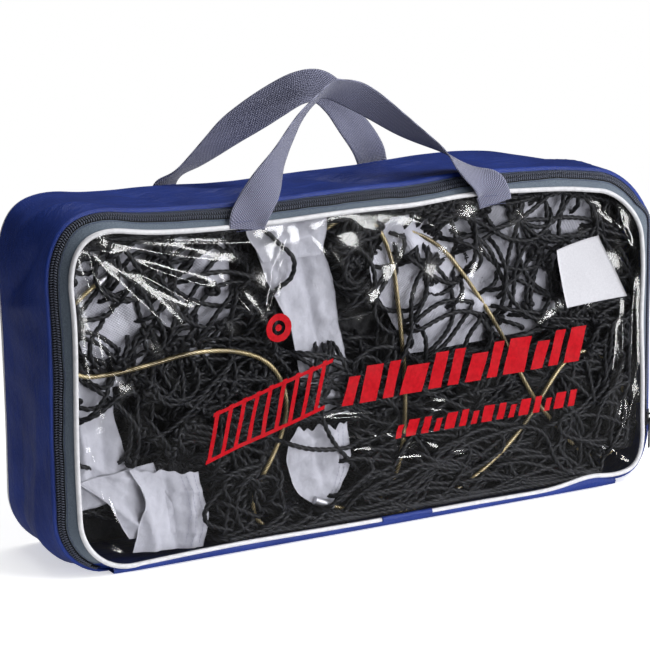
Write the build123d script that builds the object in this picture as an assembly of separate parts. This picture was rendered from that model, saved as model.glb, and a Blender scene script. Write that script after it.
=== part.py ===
from build123d import *
import math
import os

os.makedirs("parts", exist_ok=True)

# Volleyball net packed in a zipped carry bag. Millimetres, +Z up, +X along the bag's length, -Y towards the
# clear window. The origin is the middle of the face that the bag stands on.

LENGTH = 500.0
HEIGHT = 250.0
DEPTH = 96.0
CORNER = 52.0
LOW_CORNER = 40.0
FABRIC = 1.5

# The zip runs in a strip that slopes at 45 degrees from the side band to the front piping.
BACK_Y = DEPTH / 2
FRONT_Y = -DEPTH / 2
BEVEL = 14.0
BAND_EDGE_Y = FRONT_Y + BEVEL
PIPING_R = 1.8
FRONT_SILL = 3.0
FRONT_CORNER = 40.0
FRONT_LOW_CORNER = 38.0
TAPE_THICK = 0.8
COIL_PROUD = -0.7
COIL_DEEP = 1.5
OUTER_TAPE_END_Y = -36.3
OUTER_COIL_END_Y = -38.0
INNER_COIL_START_Y = -38.8
INNER_TAPE_START_Y = -40.5
CHAIN_GAP = 0.1
STOP_NEAR = 0.6
STOP_FAR = 4.2
# The strip runs into both lower corners; the chain stops short of the right one.
STRIP_LOW_Z = 8.0
CHAIN_LOW_Z = 37.0

# The flap hinges on the straight bottom seam.
HINGE_SPAN = LENGTH - 2 * LOW_CORNER - 8.0
WINDOW_THICK = 0.8
PATCH_X = 22.0
PATCH_LENGTH = 44.0

# Zip slider, at its stop near the foot of the right side.
SLIDER_Z = 47.0
SLIDER_LENGTH = 11.0
SLIDER_WIDTH = 9.8
PLATE = 1.1
PLATE_GAP = 1.65
LIP = 0.8
NECK_THICK = 0.5
BRIDGE_WIDTH = 1.6
BRIDGE_RISE = 2.5
PIN_R = 0.55
PIN_HEIGHT = 3.75
PULLER_LENGTH = 24.0
PULLER_WIDTH = 5.2
PULLER_THICK = 1.0
# The flap's half of the zip starts above the slider, so that the flap can swing.
FLAP_LOW_Z = SLIDER_Z + SLIDER_LENGTH / 2 + 7.5

# Handles: 25 mm webbing, each a flat arch that leans in over the bag.
WEBBING = 25.0
WEBBING_THICK = 2.0
FRONT_HANDLE_X = (-103.0, 96.5)
FRONT_HANDLE_APEX_X = -14.0
FRONT_ENDS_Y = -51.4
FRONT_HANDLE_Y = -53.8
FRONT_HANDLE_Z = 239.5
REAR_HANDLE_X = (-118.0, 56.0)
REAR_HANDLE_APEX_X = -24.0
REAR_ENDS_Y = 52.7
REAR_HANDLE_Y = 55.1
REAR_HANDLE_Z = 252.0
HANDLE_RISE = 90.0
REAR_HANDLE_RISE = 79.0
HANDLE_LEAN = 22.0
HANDLE_END = 9.0
HANDLE_GAP = 0.6

# Contents.
BUNDLE_FRONT_Y = -26.0
BUNDLE_BACK_Y = 43.0
BUNDLE_INSET = 10.0
TAPE_LAYER_Y = -30.0
TAPE_LAYER_THICK = 3.0
CABLE_R = 1.75
FERRULE_R = 3.2
FERRULE_LENGTH = 16.0


def wall(y):
    """The plane parallel to the window at depth y, seen from the front."""
    return Plane.XZ.offset(-y)


def rounded_face(half_x, low, high, low_radius, high_radius):
    face = Pos(0, (low + high) / 2) * Rectangle(2 * half_x, high - low)
    face = fillet(face.vertices().group_by(Axis.Y)[0], low_radius)
    return fillet(face.vertices().group_by(Axis.Y)[-1], high_radius)


def band_face(inset):
    return rounded_face(LENGTH / 2 - inset, inset, HEIGHT - inset, LOW_CORNER - inset, CORNER - inset)


def front_face(inset):
    half_x = LENGTH / 2 - BEVEL - inset
    high = HEIGHT - BEVEL - inset
    return rounded_face(half_x, FRONT_SILL + inset, high, FRONT_LOW_CORNER - inset, FRONT_CORNER - inset)


def slab(face, y_front, y_back):
    return extrude(wall(y_back) * face, y_back - y_front)


def bevel_solid(inset):
    """The solid under the sloping strip, its skin moved in by inset."""
    return loft([wall(BAND_EDGE_Y) * band_face(inset), wall(FRONT_Y) * front_face(inset)])


def bevel_strip(outer, inner, y_front, y_back, right_low_z):
    """The part of the sloping strip between two depths, open along the bottom."""
    shell = bevel_solid(outer) - bevel_solid(inner)
    middle = (y_front + y_back) / 2
    room = Pos(0, middle, HEIGHT / 2 + STRIP_LOW_Z) * Box(2 * LENGTH, y_back - y_front, HEIGHT)
    low_right = Pos(LENGTH / 2, middle, right_low_z / 2) * Box(LENGTH / 2, DEPTH, right_low_z)
    return (shell & room) - low_right


def chain_middle():
    """The middle of the chain on the right side, as x and y."""
    y = (OUTER_COIL_END_Y + INNER_COIL_START_Y) / 2
    return LENGTH / 2 + y - BAND_EDGE_Y, y


def zip_plane(z):
    """On the right side at the chain's middle: x across the strip towards the band, y up, z out of the strip."""
    x, y = chain_middle()
    return Plane(origin=(x, y, z), x_dir=(1, 1, 0), z_dir=(1, -1, 0))


def zip_box(x0, x1, out0, out1, z0, z1):
    block = Pos((x0 + x1) / 2, (z0 + z1) / 2, (out0 + out1) / 2) * Box(x1 - x0, z1 - z0, out1 - out0)
    return zip_plane(0) * block


def round_wire(points, radii):
    return FilletPolyline(*points, radius=radii)


def tube(path, radius):
    start = Plane(origin=path @ 0, z_dir=path % 0)
    return sweep(start * Circle(radius), path=path)


def turn_radii(points):
    """An arc of 0.45 of the shorter run beside each corner."""
    radii = []
    for before, corner, after in zip(points, points[1:], points[2:]):
        run_in = Vector(*corner) - Vector(*before)
        run_out = Vector(*after) - Vector(*corner)
        half_turn = math.radians(run_in.get_angle(run_out)) / 2
        radii.append(0.45 * min(run_in.length, run_out.length) / math.tan(half_turn))
    return radii


def free_cord(name, points, radius):
    radii = turn_radii(points)
    path = round_wire(points, radii)
    solid = tube(path, radius)
    section = math.pi * radius**2
    print(name, "length", round(path.length, 1), "volume ratio", round(solid.volume / section / path.length, 4))
    print("  tightest arc", round(min(radii), 1), "in", len(radii), "arcs")
    return solid


# ---- bag shell ----


def back_panel():
    return slab(band_face(FABRIC + 0.05), BACK_Y - FABRIC, BACK_Y - 0.1)


def band_ring():
    return slab(band_face(0), BAND_EDGE_Y, BACK_Y) - slab(band_face(FABRIC), BAND_EDGE_Y - 1, BACK_Y + 1)


def side_band():
    under = Box(HINGE_SPAN, 3 * DEPTH, 20)
    return band_ring() - under


def bottom_panel():
    strip = Box(HINGE_SPAN - 0.1, BACK_Y - FRONT_Y - 2 * PIPING_R, FABRIC, align=(Align.CENTER, Align.MAX, Align.MIN))
    return Pos(0, BACK_Y, 0) * strip


def back_piping():
    outline = wall(BACK_Y + PIPING_R) * band_face(PIPING_R + 0.1)
    path = outline.face().outer_wire()
    start = Plane(origin=path @ 0, z_dir=path % 0)
    return sweep(start * Circle(PIPING_R), path=path)


def zip_tape_outer():
    return bevel_strip(0, TAPE_THICK, OUTER_TAPE_END_Y, BAND_EDGE_Y - CHAIN_GAP, STRIP_LOW_Z)


def zip_coil_outer():
    return bevel_strip(COIL_PROUD, COIL_DEEP, OUTER_COIL_END_Y, OUTER_TAPE_END_Y - CHAIN_GAP, CHAIN_LOW_Z)


def zip_end_stops():
    """A crimped clip round the end of each chain on the right side, below the slider."""
    low = CHAIN_LOW_Z - 3.4
    clip = zip_box(STOP_NEAR, STOP_FAR, 0.05, 1.3, low, low + 3.2)
    return Compound(children=[clip, zip_box(STOP_NEAR, STOP_FAR, -2.2, -1.0, low, low + 3.2)])


# ---- front flap ----


def front_piping():
    outline = wall(FRONT_Y) * front_face(0)
    path = outline.face().outer_wire()
    start = Plane(origin=path @ 0, z_dir=path % 0)
    ring = sweep(start * Circle(PIPING_R), path=path)
    joint = Pos(PATCH_X, FRONT_Y, FRONT_SILL) * Box(PATCH_LENGTH - 4, 8, 8)
    return ring - joint


def piping_joint_patch():
    """A folded sleeve over the two ends of the front piping."""
    core = Pos(PATCH_X, FRONT_Y, FRONT_SILL) * Rot(0, 90, 0) * Cylinder(PIPING_R + 0.7, PATCH_LENGTH)
    bore = Pos(PATCH_X, FRONT_Y, FRONT_SILL) * Rot(0, 90, 0) * Cylinder(PIPING_R + 0.05, PATCH_LENGTH + 2)
    return core - bore


def front_window():
    return slab(front_face(PIPING_R + 0.8), FRONT_Y - WINDOW_THICK / 2, FRONT_Y + WINDOW_THICK / 2)


def zip_tape_inner():
    return bevel_strip(0, TAPE_THICK, FRONT_Y + PIPING_R + 0.1, INNER_TAPE_START_Y, FLAP_LOW_Z)


def zip_coil_inner():
    y_front = INNER_TAPE_START_Y + CHAIN_GAP
    return bevel_strip(COIL_PROUD, COIL_DEEP, y_front, INNER_COIL_START_Y, FLAP_LOW_Z)


def paper_label():
    sheet = Box(44, 0.3, 52)
    return Pos(182, FRONT_Y - WINDOW_THICK / 2 - 0.25, 171) * Rot(0, -12, 0) * sheet


# ---- slider ----


def slider_neck(top):
    """The post between the plates, in the gap between the two coils."""
    x, y = chain_middle()
    return Pos(x, y, top - 2) * Box(2 * math.sqrt(2) * (PLATE_GAP + 0.1), NECK_THICK, 4)


def zip_slider():
    z0 = SLIDER_Z - SLIDER_LENGTH / 2
    z1 = SLIDER_Z + SLIDER_LENGTH / 2
    half = SLIDER_WIDTH / 2
    top = zip_box(-half, half, PLATE_GAP, PLATE_GAP + PLATE, z0, z1)
    under = zip_box(-half, half, -PLATE_GAP - PLATE, -PLATE_GAP, z0, z1)
    body = top + under
    for side in (-1, 1):
        edge = sorted((side * half, side * (half - LIP)))
        body += zip_box(edge[0], edge[1], PLATE_GAP - LIP, PLATE_GAP, z0, z1)
        body += zip_box(edge[0], edge[1], -PLATE_GAP, LIP - PLATE_GAP, z0, z1)
    body += slider_neck(z1)
    foot = PLATE_GAP + PLATE
    bridge = zip_box(-BRIDGE_WIDTH / 2, BRIDGE_WIDTH / 2, foot, foot + BRIDGE_RISE, z0 + 2, z1 - 2)
    window = zip_box(-BRIDGE_WIDTH, BRIDGE_WIDTH, foot, foot + BRIDGE_RISE - 0.8, z0 + 3.2, z1 - 3.2)
    return body + (bridge - window)


def zip_puller():
    """A bar under the slider's bridge, two arms, and a drop-shaped tab with a hole."""
    pin_z = SLIDER_Z - 1.2
    pin = zip_plane(pin_z) * Pos(0, 0, PIN_HEIGHT) * Rot(0, 90, 0) * Cylinder(PIN_R, PULLER_WIDTH - 1)
    outline = Pos(0, -PULLER_LENGTH / 2) * RectangleRounded(PULLER_WIDTH, PULLER_LENGTH, 2.2)
    slot = Pos(0, -2.2) * Rectangle(BRIDGE_WIDTH + 1.2, 8.4)
    hole = Pos(0, -PULLER_LENGTH + 5) * RectangleRounded(2.6, 6, 1.2)
    plate = extrude(outline - slot - hole, PULLER_THICK / 2, both=True)
    placed = zip_plane(pin_z + PIN_R) * Pos(0, 0, PIN_HEIGHT) * plate
    return pin + placed


# ---- handles ----


def handle(feet, apex_x, rise, y, z, lean):
    """A flat arch of webbing in a plane through its hinge line, with a rounded foot on that line."""
    left, right = feet
    reach = rise - WEBBING / 2
    points = [(left, 0), (apex_x - 34, reach), (apex_x + 30, reach), (right, 0)]
    path = FilletPolyline(*points, radius=[46.0, 60.0])
    wide = offset(path, amount=WEBBING / 2, side=Side.BOTH)
    arch = make_face(wide.edges()) & Pos(0, rise) * Rectangle(2 * LENGTH, 2 * rise)
    flat = extrude(arch, WEBBING_THICK / 2, both=True)
    for foot in feet:
        flat += Pos(foot, 0) * Rot(0, 90, 0) * Cylinder(WEBBING_THICK / 2, WEBBING)
    return Plane(origin=(0, y, z), x_dir=(1, 0, 0), z_dir=(0, -math.cos(lean), math.sin(lean))) * flat


def front_handle():
    lean = math.radians(HANDLE_LEAN)
    return handle(FRONT_HANDLE_X, FRONT_HANDLE_APEX_X, HANDLE_RISE, FRONT_HANDLE_Y, FRONT_HANDLE_Z, lean)


def rear_handle():
    lean = -math.radians(HANDLE_LEAN)
    return handle(REAR_HANDLE_X, REAR_HANDLE_APEX_X, REAR_HANDLE_RISE, REAR_HANDLE_Y, REAR_HANDLE_Z, lean)


def sewn_ends(feet, y, top):
    """The two ends of a handle, sewn flat over the seam below its hinge line."""
    shape = Box(WEBBING + 2, 1.4, HANDLE_END, align=(Align.CENTER, Align.CENTER, Align.MAX))
    return Compound(children=[Pos(x, y, top) * shape for x in feet])


def front_handle_ends():
    return sewn_ends(FRONT_HANDLE_X, FRONT_ENDS_Y, FRONT_HANDLE_Z - HANDLE_GAP)


def rear_handle_ends():
    return sewn_ends(REAR_HANDLE_X, REAR_ENDS_Y, REAR_HANDLE_Z - HANDLE_GAP)


# ---- contents ----


def net_bundle():
    block = slab(band_face(BUNDLE_INSET), BUNDLE_FRONT_Y, BUNDLE_BACK_Y)
    return fillet(block.edges().group_by(Axis.Y)[0], 8)


def tape_fold(x, z, size_x, size_z, turn, layer=0):
    """One visible fold of a white tape, a flat rounded pad in front of the net."""
    y = TAPE_LAYER_Y - layer * (TAPE_LAYER_THICK + 0.2)
    pad = slab(RectangleRounded(size_x, size_z, 4), y, y + TAPE_LAYER_THICK)
    return Pos(x, 0, z) * Rot(0, turn, 0) * pad


def headband_left():
    return tape_fold(-186, 196, 76, 52, -20)


def headband_middle():
    return tape_fold(-62, 186, 66, 74, 12)


def headband_low():
    return tape_fold(-46, 52, 64, 62, -4)


def headband_right():
    return tape_fold(108, 178, 150, 60, 14)


def side_tape():
    return tape_fold(-212, 98, 34, 76, 6)


def hemmed_tape_end():
    return tape_fold(-160, 34, 62, 52, 10)


# The headband's cable leaves the tape's sleeve at both ends; the free ends are about 0.73 and 0.65 m.
CABLE_LEFT = [
    (-44, -33.5, 216), (-26, -34, 226), (-4, -35.5, 230), (11, -36.5, 219), (19, -37, 194), (23, -37, 158),
    (28, -37, 112), (28, -37, 70), (23, -36.5, 38), (10, -36, 18), (-12, -36, 8), (-44, -36, 6.5),
    (-80, -36, 5.5), (-98, -36.5, 18), (-100, -37, 38), (-85, -37, 58), (-72, -37, 84), (-70, -37, 110),
    (-84, -37, 133), (-110, -37, 144), (-144, -37, 147), (-178, -37, 141.5), (-206, -37, 138.5),
    (-230, -37, 139), (-242, -36.5, 153), (-242, -36, 173), (-232, -36, 191), (-214, -35.5, 202),
]
CABLE_RIGHT = [
    (34, -34, 214), (60, -35.5, 204), (84, -37, 172), (112, -37, 131), (138, -36.5, 80), (164, -36.5, 50),
    (186, -37, 27), (208, -38, 18), (227, -39, 30), (233, -40, 54), (223, -41, 80), (205, -41.5, 100),
    (185, -41.5, 109), (165, -41.5, 101), (148, -41.5, 80), (132, -41.5, 59), (108, -41.5, 37),
    (78, -41.5, 19), (46, -41, 8), (18, -41, 6.5), (-10, -40.5, 9), (-36, -40.5, 20),
]


def cable_left():
    return free_cord("headband_cable_left", CABLE_LEFT, CABLE_R)


def cable_right():
    return free_cord("headband_cable_right", CABLE_RIGHT, CABLE_R)


def ferrule(points):
    end = Vector(*points[-1])
    run = (end - Vector(*points[-2])).normalized()
    middle = end + run * (FERRULE_LENGTH / 2)
    return Plane(origin=middle, z_dir=run) * Cylinder(FERRULE_R, FERRULE_LENGTH)


def cable_ferrules():
    return Compound(children=[ferrule(CABLE_LEFT), ferrule(CABLE_RIGHT)])


NODES = {
    "back_panel": back_panel,
    "side_band": side_band,
    "bottom_panel": bottom_panel,
    "back_piping": back_piping,
    "zip_tape_outer": zip_tape_outer,
    "zip_coil_outer": zip_coil_outer,
    "zip_end_stops": zip_end_stops,
    "zip_slider": zip_slider,
    "zip_puller": zip_puller,
    "front_window": front_window,
    "front_piping": front_piping,
    "piping_joint_patch": piping_joint_patch,
    "zip_tape_inner": zip_tape_inner,
    "zip_coil_inner": zip_coil_inner,
    "paper_label": paper_label,
    "front_handle": front_handle,
    "front_handle_ends": front_handle_ends,
    "rear_handle": rear_handle,
    "rear_handle_ends": rear_handle_ends,
    "net_bundle": net_bundle,
    "headband_left": headband_left,
    "headband_middle": headband_middle,
    "headband_low": headband_low,
    "headband_right": headband_right,
    "side_tape": side_tape,
    "hemmed_tape_end": hemmed_tape_end,
    "headband_cable_left": cable_left,
    "headband_cable_right": cable_right,
    "cable_ferrules": cable_ferrules,
}

for node, build in NODES.items():
    export_step(build(), f"parts/{node}.step")
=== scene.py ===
import math

import bpy
import numpy as np
from mathutils import Matrix, Vector, noise
from mathutils.kdtree import KDTree


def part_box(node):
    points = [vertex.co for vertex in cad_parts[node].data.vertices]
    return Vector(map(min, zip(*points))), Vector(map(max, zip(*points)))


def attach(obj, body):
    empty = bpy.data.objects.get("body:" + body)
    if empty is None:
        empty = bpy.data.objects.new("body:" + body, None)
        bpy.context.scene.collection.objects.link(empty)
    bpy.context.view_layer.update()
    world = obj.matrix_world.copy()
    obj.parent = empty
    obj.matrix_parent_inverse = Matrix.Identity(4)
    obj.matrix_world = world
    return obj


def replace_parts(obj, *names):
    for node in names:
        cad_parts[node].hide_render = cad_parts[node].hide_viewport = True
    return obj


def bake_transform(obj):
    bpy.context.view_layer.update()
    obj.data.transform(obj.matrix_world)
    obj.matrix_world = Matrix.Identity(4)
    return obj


# A volleyball net packed in its carry bag. Lengths are in millimetres until mesh_object writes them in metres.

MM = 0.001

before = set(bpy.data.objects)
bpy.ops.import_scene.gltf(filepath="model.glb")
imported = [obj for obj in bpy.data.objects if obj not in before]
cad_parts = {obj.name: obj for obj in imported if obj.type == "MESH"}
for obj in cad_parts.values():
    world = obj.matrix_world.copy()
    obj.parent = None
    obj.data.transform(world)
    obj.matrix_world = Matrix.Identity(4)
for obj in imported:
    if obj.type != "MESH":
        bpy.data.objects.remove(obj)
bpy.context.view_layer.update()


def node_box(node):
    low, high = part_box(node)
    return np.array(low) / MM, np.array(high) / MM


BAND_LOW, BAND_HIGH = node_box("side_band")
PIPING_LOW, PIPING_HIGH = node_box("front_piping")
PIPING_R = 1.8
HALF_LENGTH = BAND_HIGH[0]
HEIGHT = BAND_HIGH[2]
BAND_EDGE_Y = BAND_LOW[1]
BACK_Y = BAND_HIGH[1]
FRONT_Y = (PIPING_LOW[1] + PIPING_HIGH[1]) / 2
FRONT_HALF = PIPING_HIGH[0] - PIPING_R
FRONT_LOW_Z = PIPING_LOW[2] + PIPING_R
FRONT_HIGH_Z = PIPING_HIGH[2] - PIPING_R
BAND_CORNERS = (40.0, 52.0)
FRONT_CORNERS = (38.0, 40.0)


# ---------------------------------------------------------------- meshes


def mesh_object(name, points, faces, material, body, smooth=True, uv=None):
    """A mesh from points in millimetres and an array of quads or triangles, riding on a body."""
    points = np.asarray(points, dtype=np.float32) * MM
    faces = np.asarray(faces, dtype=np.int32)
    corners = faces.shape[1]
    mesh = bpy.data.meshes.new(name)
    mesh.vertices.add(len(points))
    mesh.vertices.foreach_set("co", points.ravel())
    mesh.loops.add(faces.size)
    mesh.loops.foreach_set("vertex_index", faces.ravel())
    mesh.polygons.add(len(faces))
    mesh.polygons.foreach_set("loop_start", np.arange(0, faces.size, corners, dtype=np.int32))
    mesh.polygons.foreach_set("loop_total", np.full(len(faces), corners, dtype=np.int32))
    mesh.update(calc_edges=True)
    mesh.polygons.foreach_set("use_smooth", np.full(len(faces), smooth))
    if uv is not None:
        layer = mesh.uv_layers.new(name="UVMap")
        layer.data.foreach_set("uv", np.asarray(uv, dtype=np.float32)[faces.ravel()].ravel())
    mesh.validate()
    obj = bpy.data.objects.new(name, mesh)
    bpy.context.collection.objects.link(obj)
    mesh.materials.append(material)
    if body is not None:
        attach(obj, body)
    return obj


def grid_faces(rows, columns, wrap_rows=False, wrap_columns=False, start=0):
    r = np.arange(rows if wrap_rows else rows - 1)
    c = np.arange(columns if wrap_columns else columns - 1)
    r, c = np.meshgrid(r, c, indexing="ij")
    r1 = (r + 1) % rows
    c1 = (c + 1) % columns
    quads = np.stack([r * columns + c, r1 * columns + c, r1 * columns + c1, r * columns + c1], axis=-1)
    return quads.reshape(-1, 4) + start


def solid_sheet(grid, thickness, wrap_rows=False):
    """Points and faces of a closed sheet: the grid, its copy moved along its normals, and the rim between."""
    rows, columns = grid.shape[:2]
    along = np.roll(grid, -1, 0) - np.roll(grid, 1, 0)
    if not wrap_rows:
        along[0] = grid[1] - grid[0]
        along[-1] = grid[-1] - grid[-2]
    across = np.gradient(grid, axis=1)
    normal = np.cross(along, across)
    normal /= np.linalg.norm(normal, axis=2, keepdims=True) + 1e-9
    under = grid - normal * thickness
    points = np.concatenate([grid.reshape(-1, 3), under.reshape(-1, 3)])
    count = rows * columns
    top = grid_faces(rows, columns, wrap_rows)
    bottom = grid_faces(rows, columns, wrap_rows, start=count)[:, ::-1]
    index = np.arange(count).reshape(rows, columns)
    rims = [index[:, 0], index[::-1, -1]]
    if not wrap_rows:
        rims += [index[0, ::-1], index[-1, :]]
    faces = [top, bottom]
    for rim in rims:
        a = rim if not wrap_rows else np.append(rim, rim[0])
        faces.append(np.stack([a[:-1], a[1:], a[1:] + count, a[:-1] + count], axis=1))
    return points, np.concatenate(faces)


def path_frames(path):
    """Tangents and a pair of normals along a path, turned as little as possible."""
    tangent = np.gradient(path, axis=0)
    tangent /= np.linalg.norm(tangent, axis=1, keepdims=True) + 1e-9
    normal = np.zeros_like(path)
    start = np.cross(tangent[0], [0.3, 1.0, 0.2])
    normal[0] = start / np.linalg.norm(start)
    for i in range(1, len(path)):
        v = normal[i - 1] - tangent[i] * np.dot(normal[i - 1], tangent[i])
        normal[i] = v / (np.linalg.norm(v) + 1e-9)
    return tangent, normal, np.cross(tangent, normal)


def lengths_along(path):
    steps = np.linalg.norm(np.diff(path, axis=0), axis=1)
    return np.concatenate([[0], np.cumsum(steps)])


def even_path(path, step):
    """The same path with points step apart."""
    run = lengths_along(path)
    count = max(4, int(round(run[-1] / step)) + 1)
    at = np.linspace(0, run[-1], count)
    return np.stack([np.interp(at, run, path[:, k]) for k in range(3)], axis=1)


def strand_tube(path, radius, sides, lobes=0, depth=0.0, pitch=10.0, phase=0.0, start=0):
    """Points, faces and UVs of a tube whose section has lobes that turn once in pitch: a twisted rope."""
    _, normal, side = path_frames(path)
    run = lengths_along(path)
    angle = np.linspace(0, 2 * math.pi, sides, endpoint=False)
    turned = angle[None, :] + 0 * run[:, None]
    crest = np.ones_like(turned)
    if lobes:
        twist = 2 * math.pi * run[:, None] / pitch + phase
        crest = np.abs(np.cos(lobes * (turned - twist) / 2))
    reach = radius * (1 - depth + depth * crest)
    taper = np.ones(len(run))
    taper[0] = taper[-1] = 0.04 if lobes == 3 else 0.6
    taper[1] = taper[-2] = 0.8
    reach = reach * taper[:, None]
    ring = normal[:, None, :] * np.cos(turned)[..., None] + side[:, None, :] * np.sin(turned)[..., None]
    points = path[:, None, :] + ring * reach[..., None]
    # The first UV coordinate carries the crest, which colours turn into painted shade in the grooves and a painted
    # highlight on the crests.
    uv = np.stack([crest, np.repeat(run[:, None] * 0.1, sides, 1)], axis=-1)
    faces = grid_faces(len(path), sides, wrap_columns=True, start=start)
    return points.reshape(-1, 3), faces, uv.reshape(-1, 2)


def end_caps(rings, sides, start=0):
    """Triangles as quads with a doubled corner are refused, so caps are fans of quads over pairs of corners."""
    caps = []
    for first, flip in ((0, True), ((rings - 1) * sides, False)):
        for k in range(1, sides - 2, 2):
            quad = [first, first + k, first + k + 1, first + k + 2]
            caps.append([start + i for i in (quad[::-1] if flip else quad)])
    return np.array(caps)


def joined_tubes(paths, radius, sides, lobes=0, depth=0.0, pitch=10.0, phases=None):
    """Many tubes as one set of points, faces and UVs."""
    points, faces, uvs, start = [], [], [], 0
    for k, path in enumerate(paths):
        phase = 0.0 if phases is None else phases[k]
        p, f, uv = strand_tube(path, radius, sides, lobes, depth, pitch, phase, start)
        points.append(p)
        faces.append(f)
        uvs.append(uv)
        if sides % 2 == 0:
            faces.append(end_caps(len(path), sides, start))
        start += len(p)
    return np.concatenate(points), np.concatenate(faces), np.concatenate(uvs)


def spline(points, count):
    """A smooth line through given points, with even steps."""
    p = np.asarray(points, dtype=float)
    p = np.concatenate([[2 * p[0] - p[1]], p, [2 * p[-1] - p[-2]]])
    out = []
    for i in range(1, len(p) - 2):
        t = np.linspace(0, 1, 24, endpoint=False)[:, None]
        a, b, c, d = p[i - 1], p[i], p[i + 1], p[i + 2]
        out.append(0.5 * (2 * b + (c - a) * t + (2 * a - 5 * b + 4 * c - d) * t**2 + (3 * b - a - 3 * c + d) * t**3))
    out.append(p[-2][None, :])
    line = np.concatenate(out)
    run = np.concatenate([[0], np.cumsum(np.linalg.norm(np.diff(line[:, :3], axis=0), axis=1))])
    at = np.linspace(0, run[-1], count)
    return np.stack([np.interp(at, run, line[:, k]) for k in range(line.shape[1])], axis=1)


# ---------------------------------------------------------------- materials


def material(name, color, roughness, **sockets):
    mat = bpy.data.materials.new(name)
    mat.use_nodes = True
    shader = mat.node_tree.nodes["Principled BSDF"]
    shader.inputs["Base Color"].default_value = (*color, 1)
    shader.inputs["Roughness"].default_value = roughness
    for socket, value in sockets.items():
        shader.inputs[socket.replace("_", " ")].default_value = value
    return mat


class Nodes:
    """Short calls to add and link a material's nodes."""

    def __init__(self, mat):
        self.tree = mat.node_tree
        self.shader = self.tree.nodes.get("Principled BSDF")

    def add(self, kind, **inputs):
        node = self.tree.nodes.new(kind)
        for key, value in inputs.items():
            self.put(node.inputs[key.replace("_", " ")], value)
        return node

    def put(self, socket, value):
        if isinstance(value, bpy.types.NodeSocket):
            self.tree.links.new(value, socket)
        else:
            socket.default_value = value

    def math(self, operation, a, b=0.0):
        node = self.tree.nodes.new("ShaderNodeMath")
        node.operation = operation
        self.put(node.inputs[0], a)
        self.put(node.inputs[1], b)
        return node.outputs[0]

    def coordinates(self, kind="Object", scale=(1, 1, 1), turn=(0, 0, 0)):
        source = self.tree.nodes.new("ShaderNodeTexCoord").outputs[kind]
        mapping = self.add("ShaderNodeMapping", Vector=source)
        mapping.inputs["Scale"].default_value = scale
        mapping.inputs["Rotation"].default_value = turn
        return mapping.outputs[0]

    def noise(self, vector, scale, detail=4.0, rough=0.55):
        node = self.add("ShaderNodeTexNoise", Vector=vector, Scale=scale, Detail=detail, Roughness=rough)
        return node.outputs["Fac"]

    def ramp(self, value, low, high, dark, light):
        node = self.add("ShaderNodeValToRGB", Fac=value)
        node.color_ramp.elements[0].position = low
        node.color_ramp.elements[1].position = high
        node.color_ramp.elements[0].color = (*dark, 1)
        node.color_ramp.elements[1].color = (*light, 1)
        return node.outputs["Color"]

    def level(self, value, low, high, out_low, out_high):
        node = self.add("ShaderNodeMapRange", Value=value)
        node.inputs["From Min"].default_value = low
        node.inputs["From Max"].default_value = high
        node.inputs["To Min"].default_value = out_low
        node.inputs["To Max"].default_value = out_high
        return node.outputs[0]

    def bump(self, height, strength, distance):
        node = self.add("ShaderNodeBump", Height=height, Strength=strength, Distance=distance)
        self.put(self.shader.inputs["Normal"], node.outputs[0])

    def color(self, value):
        self.put(self.shader.inputs["Base Color"], value)

    def roughness(self, value):
        self.put(self.shader.inputs["Roughness"], value)

    def threads(self, vector, pitch_u, pitch_v):
        """A plain weave's height, from two coordinates in the same unit as the pitches."""
        parts = self.add("ShaderNodeSeparateXYZ", Vector=vector)
        u = self.math("SINE", self.math("MULTIPLY", parts.outputs[0], 2 * math.pi / pitch_u))
        v = self.math("SINE", self.math("MULTIPLY", parts.outputs[1], 2 * math.pi / pitch_v))
        return self.math("MULTIPLY", u, v)


def blue_cloth():
    mat = material("coated blue polyester", (0.008, 0.025, 0.22), 0.45, Specular_IOR_Level=0.35)
    n = Nodes(mat)
    place = n.coordinates(scale=(1000, 1000, 1000))
    broad = n.noise(place, 0.018, 3)
    n.color(n.ramp(broad, 0.35, 0.7, (0.007, 0.024, 0.17), (0.014, 0.04, 0.25)))
    fine = n.noise(place, 0.9, 2)
    weave = n.threads(n.coordinates(scale=(1000, 1000, 1000), turn=(math.radians(90), 0, 0)), 0.9, 0.9)
    crease = n.noise(n.coordinates(scale=(1000, 2600, 1000)), 0.03, 5, 0.6)
    height = n.math("ADD", n.math("MULTIPLY", crease, 2.2), n.math("MULTIPLY", weave, 0.05))
    n.bump(height, 0.45, 0.0028)
    n.roughness(n.level(fine, 0.3, 0.7, 0.34, 0.5))
    return mat


def zip_cloth():
    mat = material("zip tape", (0.13, 0.17, 0.22), 0.8, Sheen_Weight=0.25)
    n = Nodes(mat)
    rib = n.threads(n.coordinates("UV"), 1.1, 1.6)
    grain = n.noise(n.coordinates(scale=(1000, 1000, 1000)), 1.4, 3)
    mixed = n.math("ADD", n.math("MULTIPLY", rib, 0.18), grain)
    n.color(n.ramp(mixed, 0.3, 0.78, (0.05, 0.07, 0.1), (0.135, 0.175, 0.225)))
    n.bump(mixed, 0.6, 0.0005)
    return mat


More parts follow.
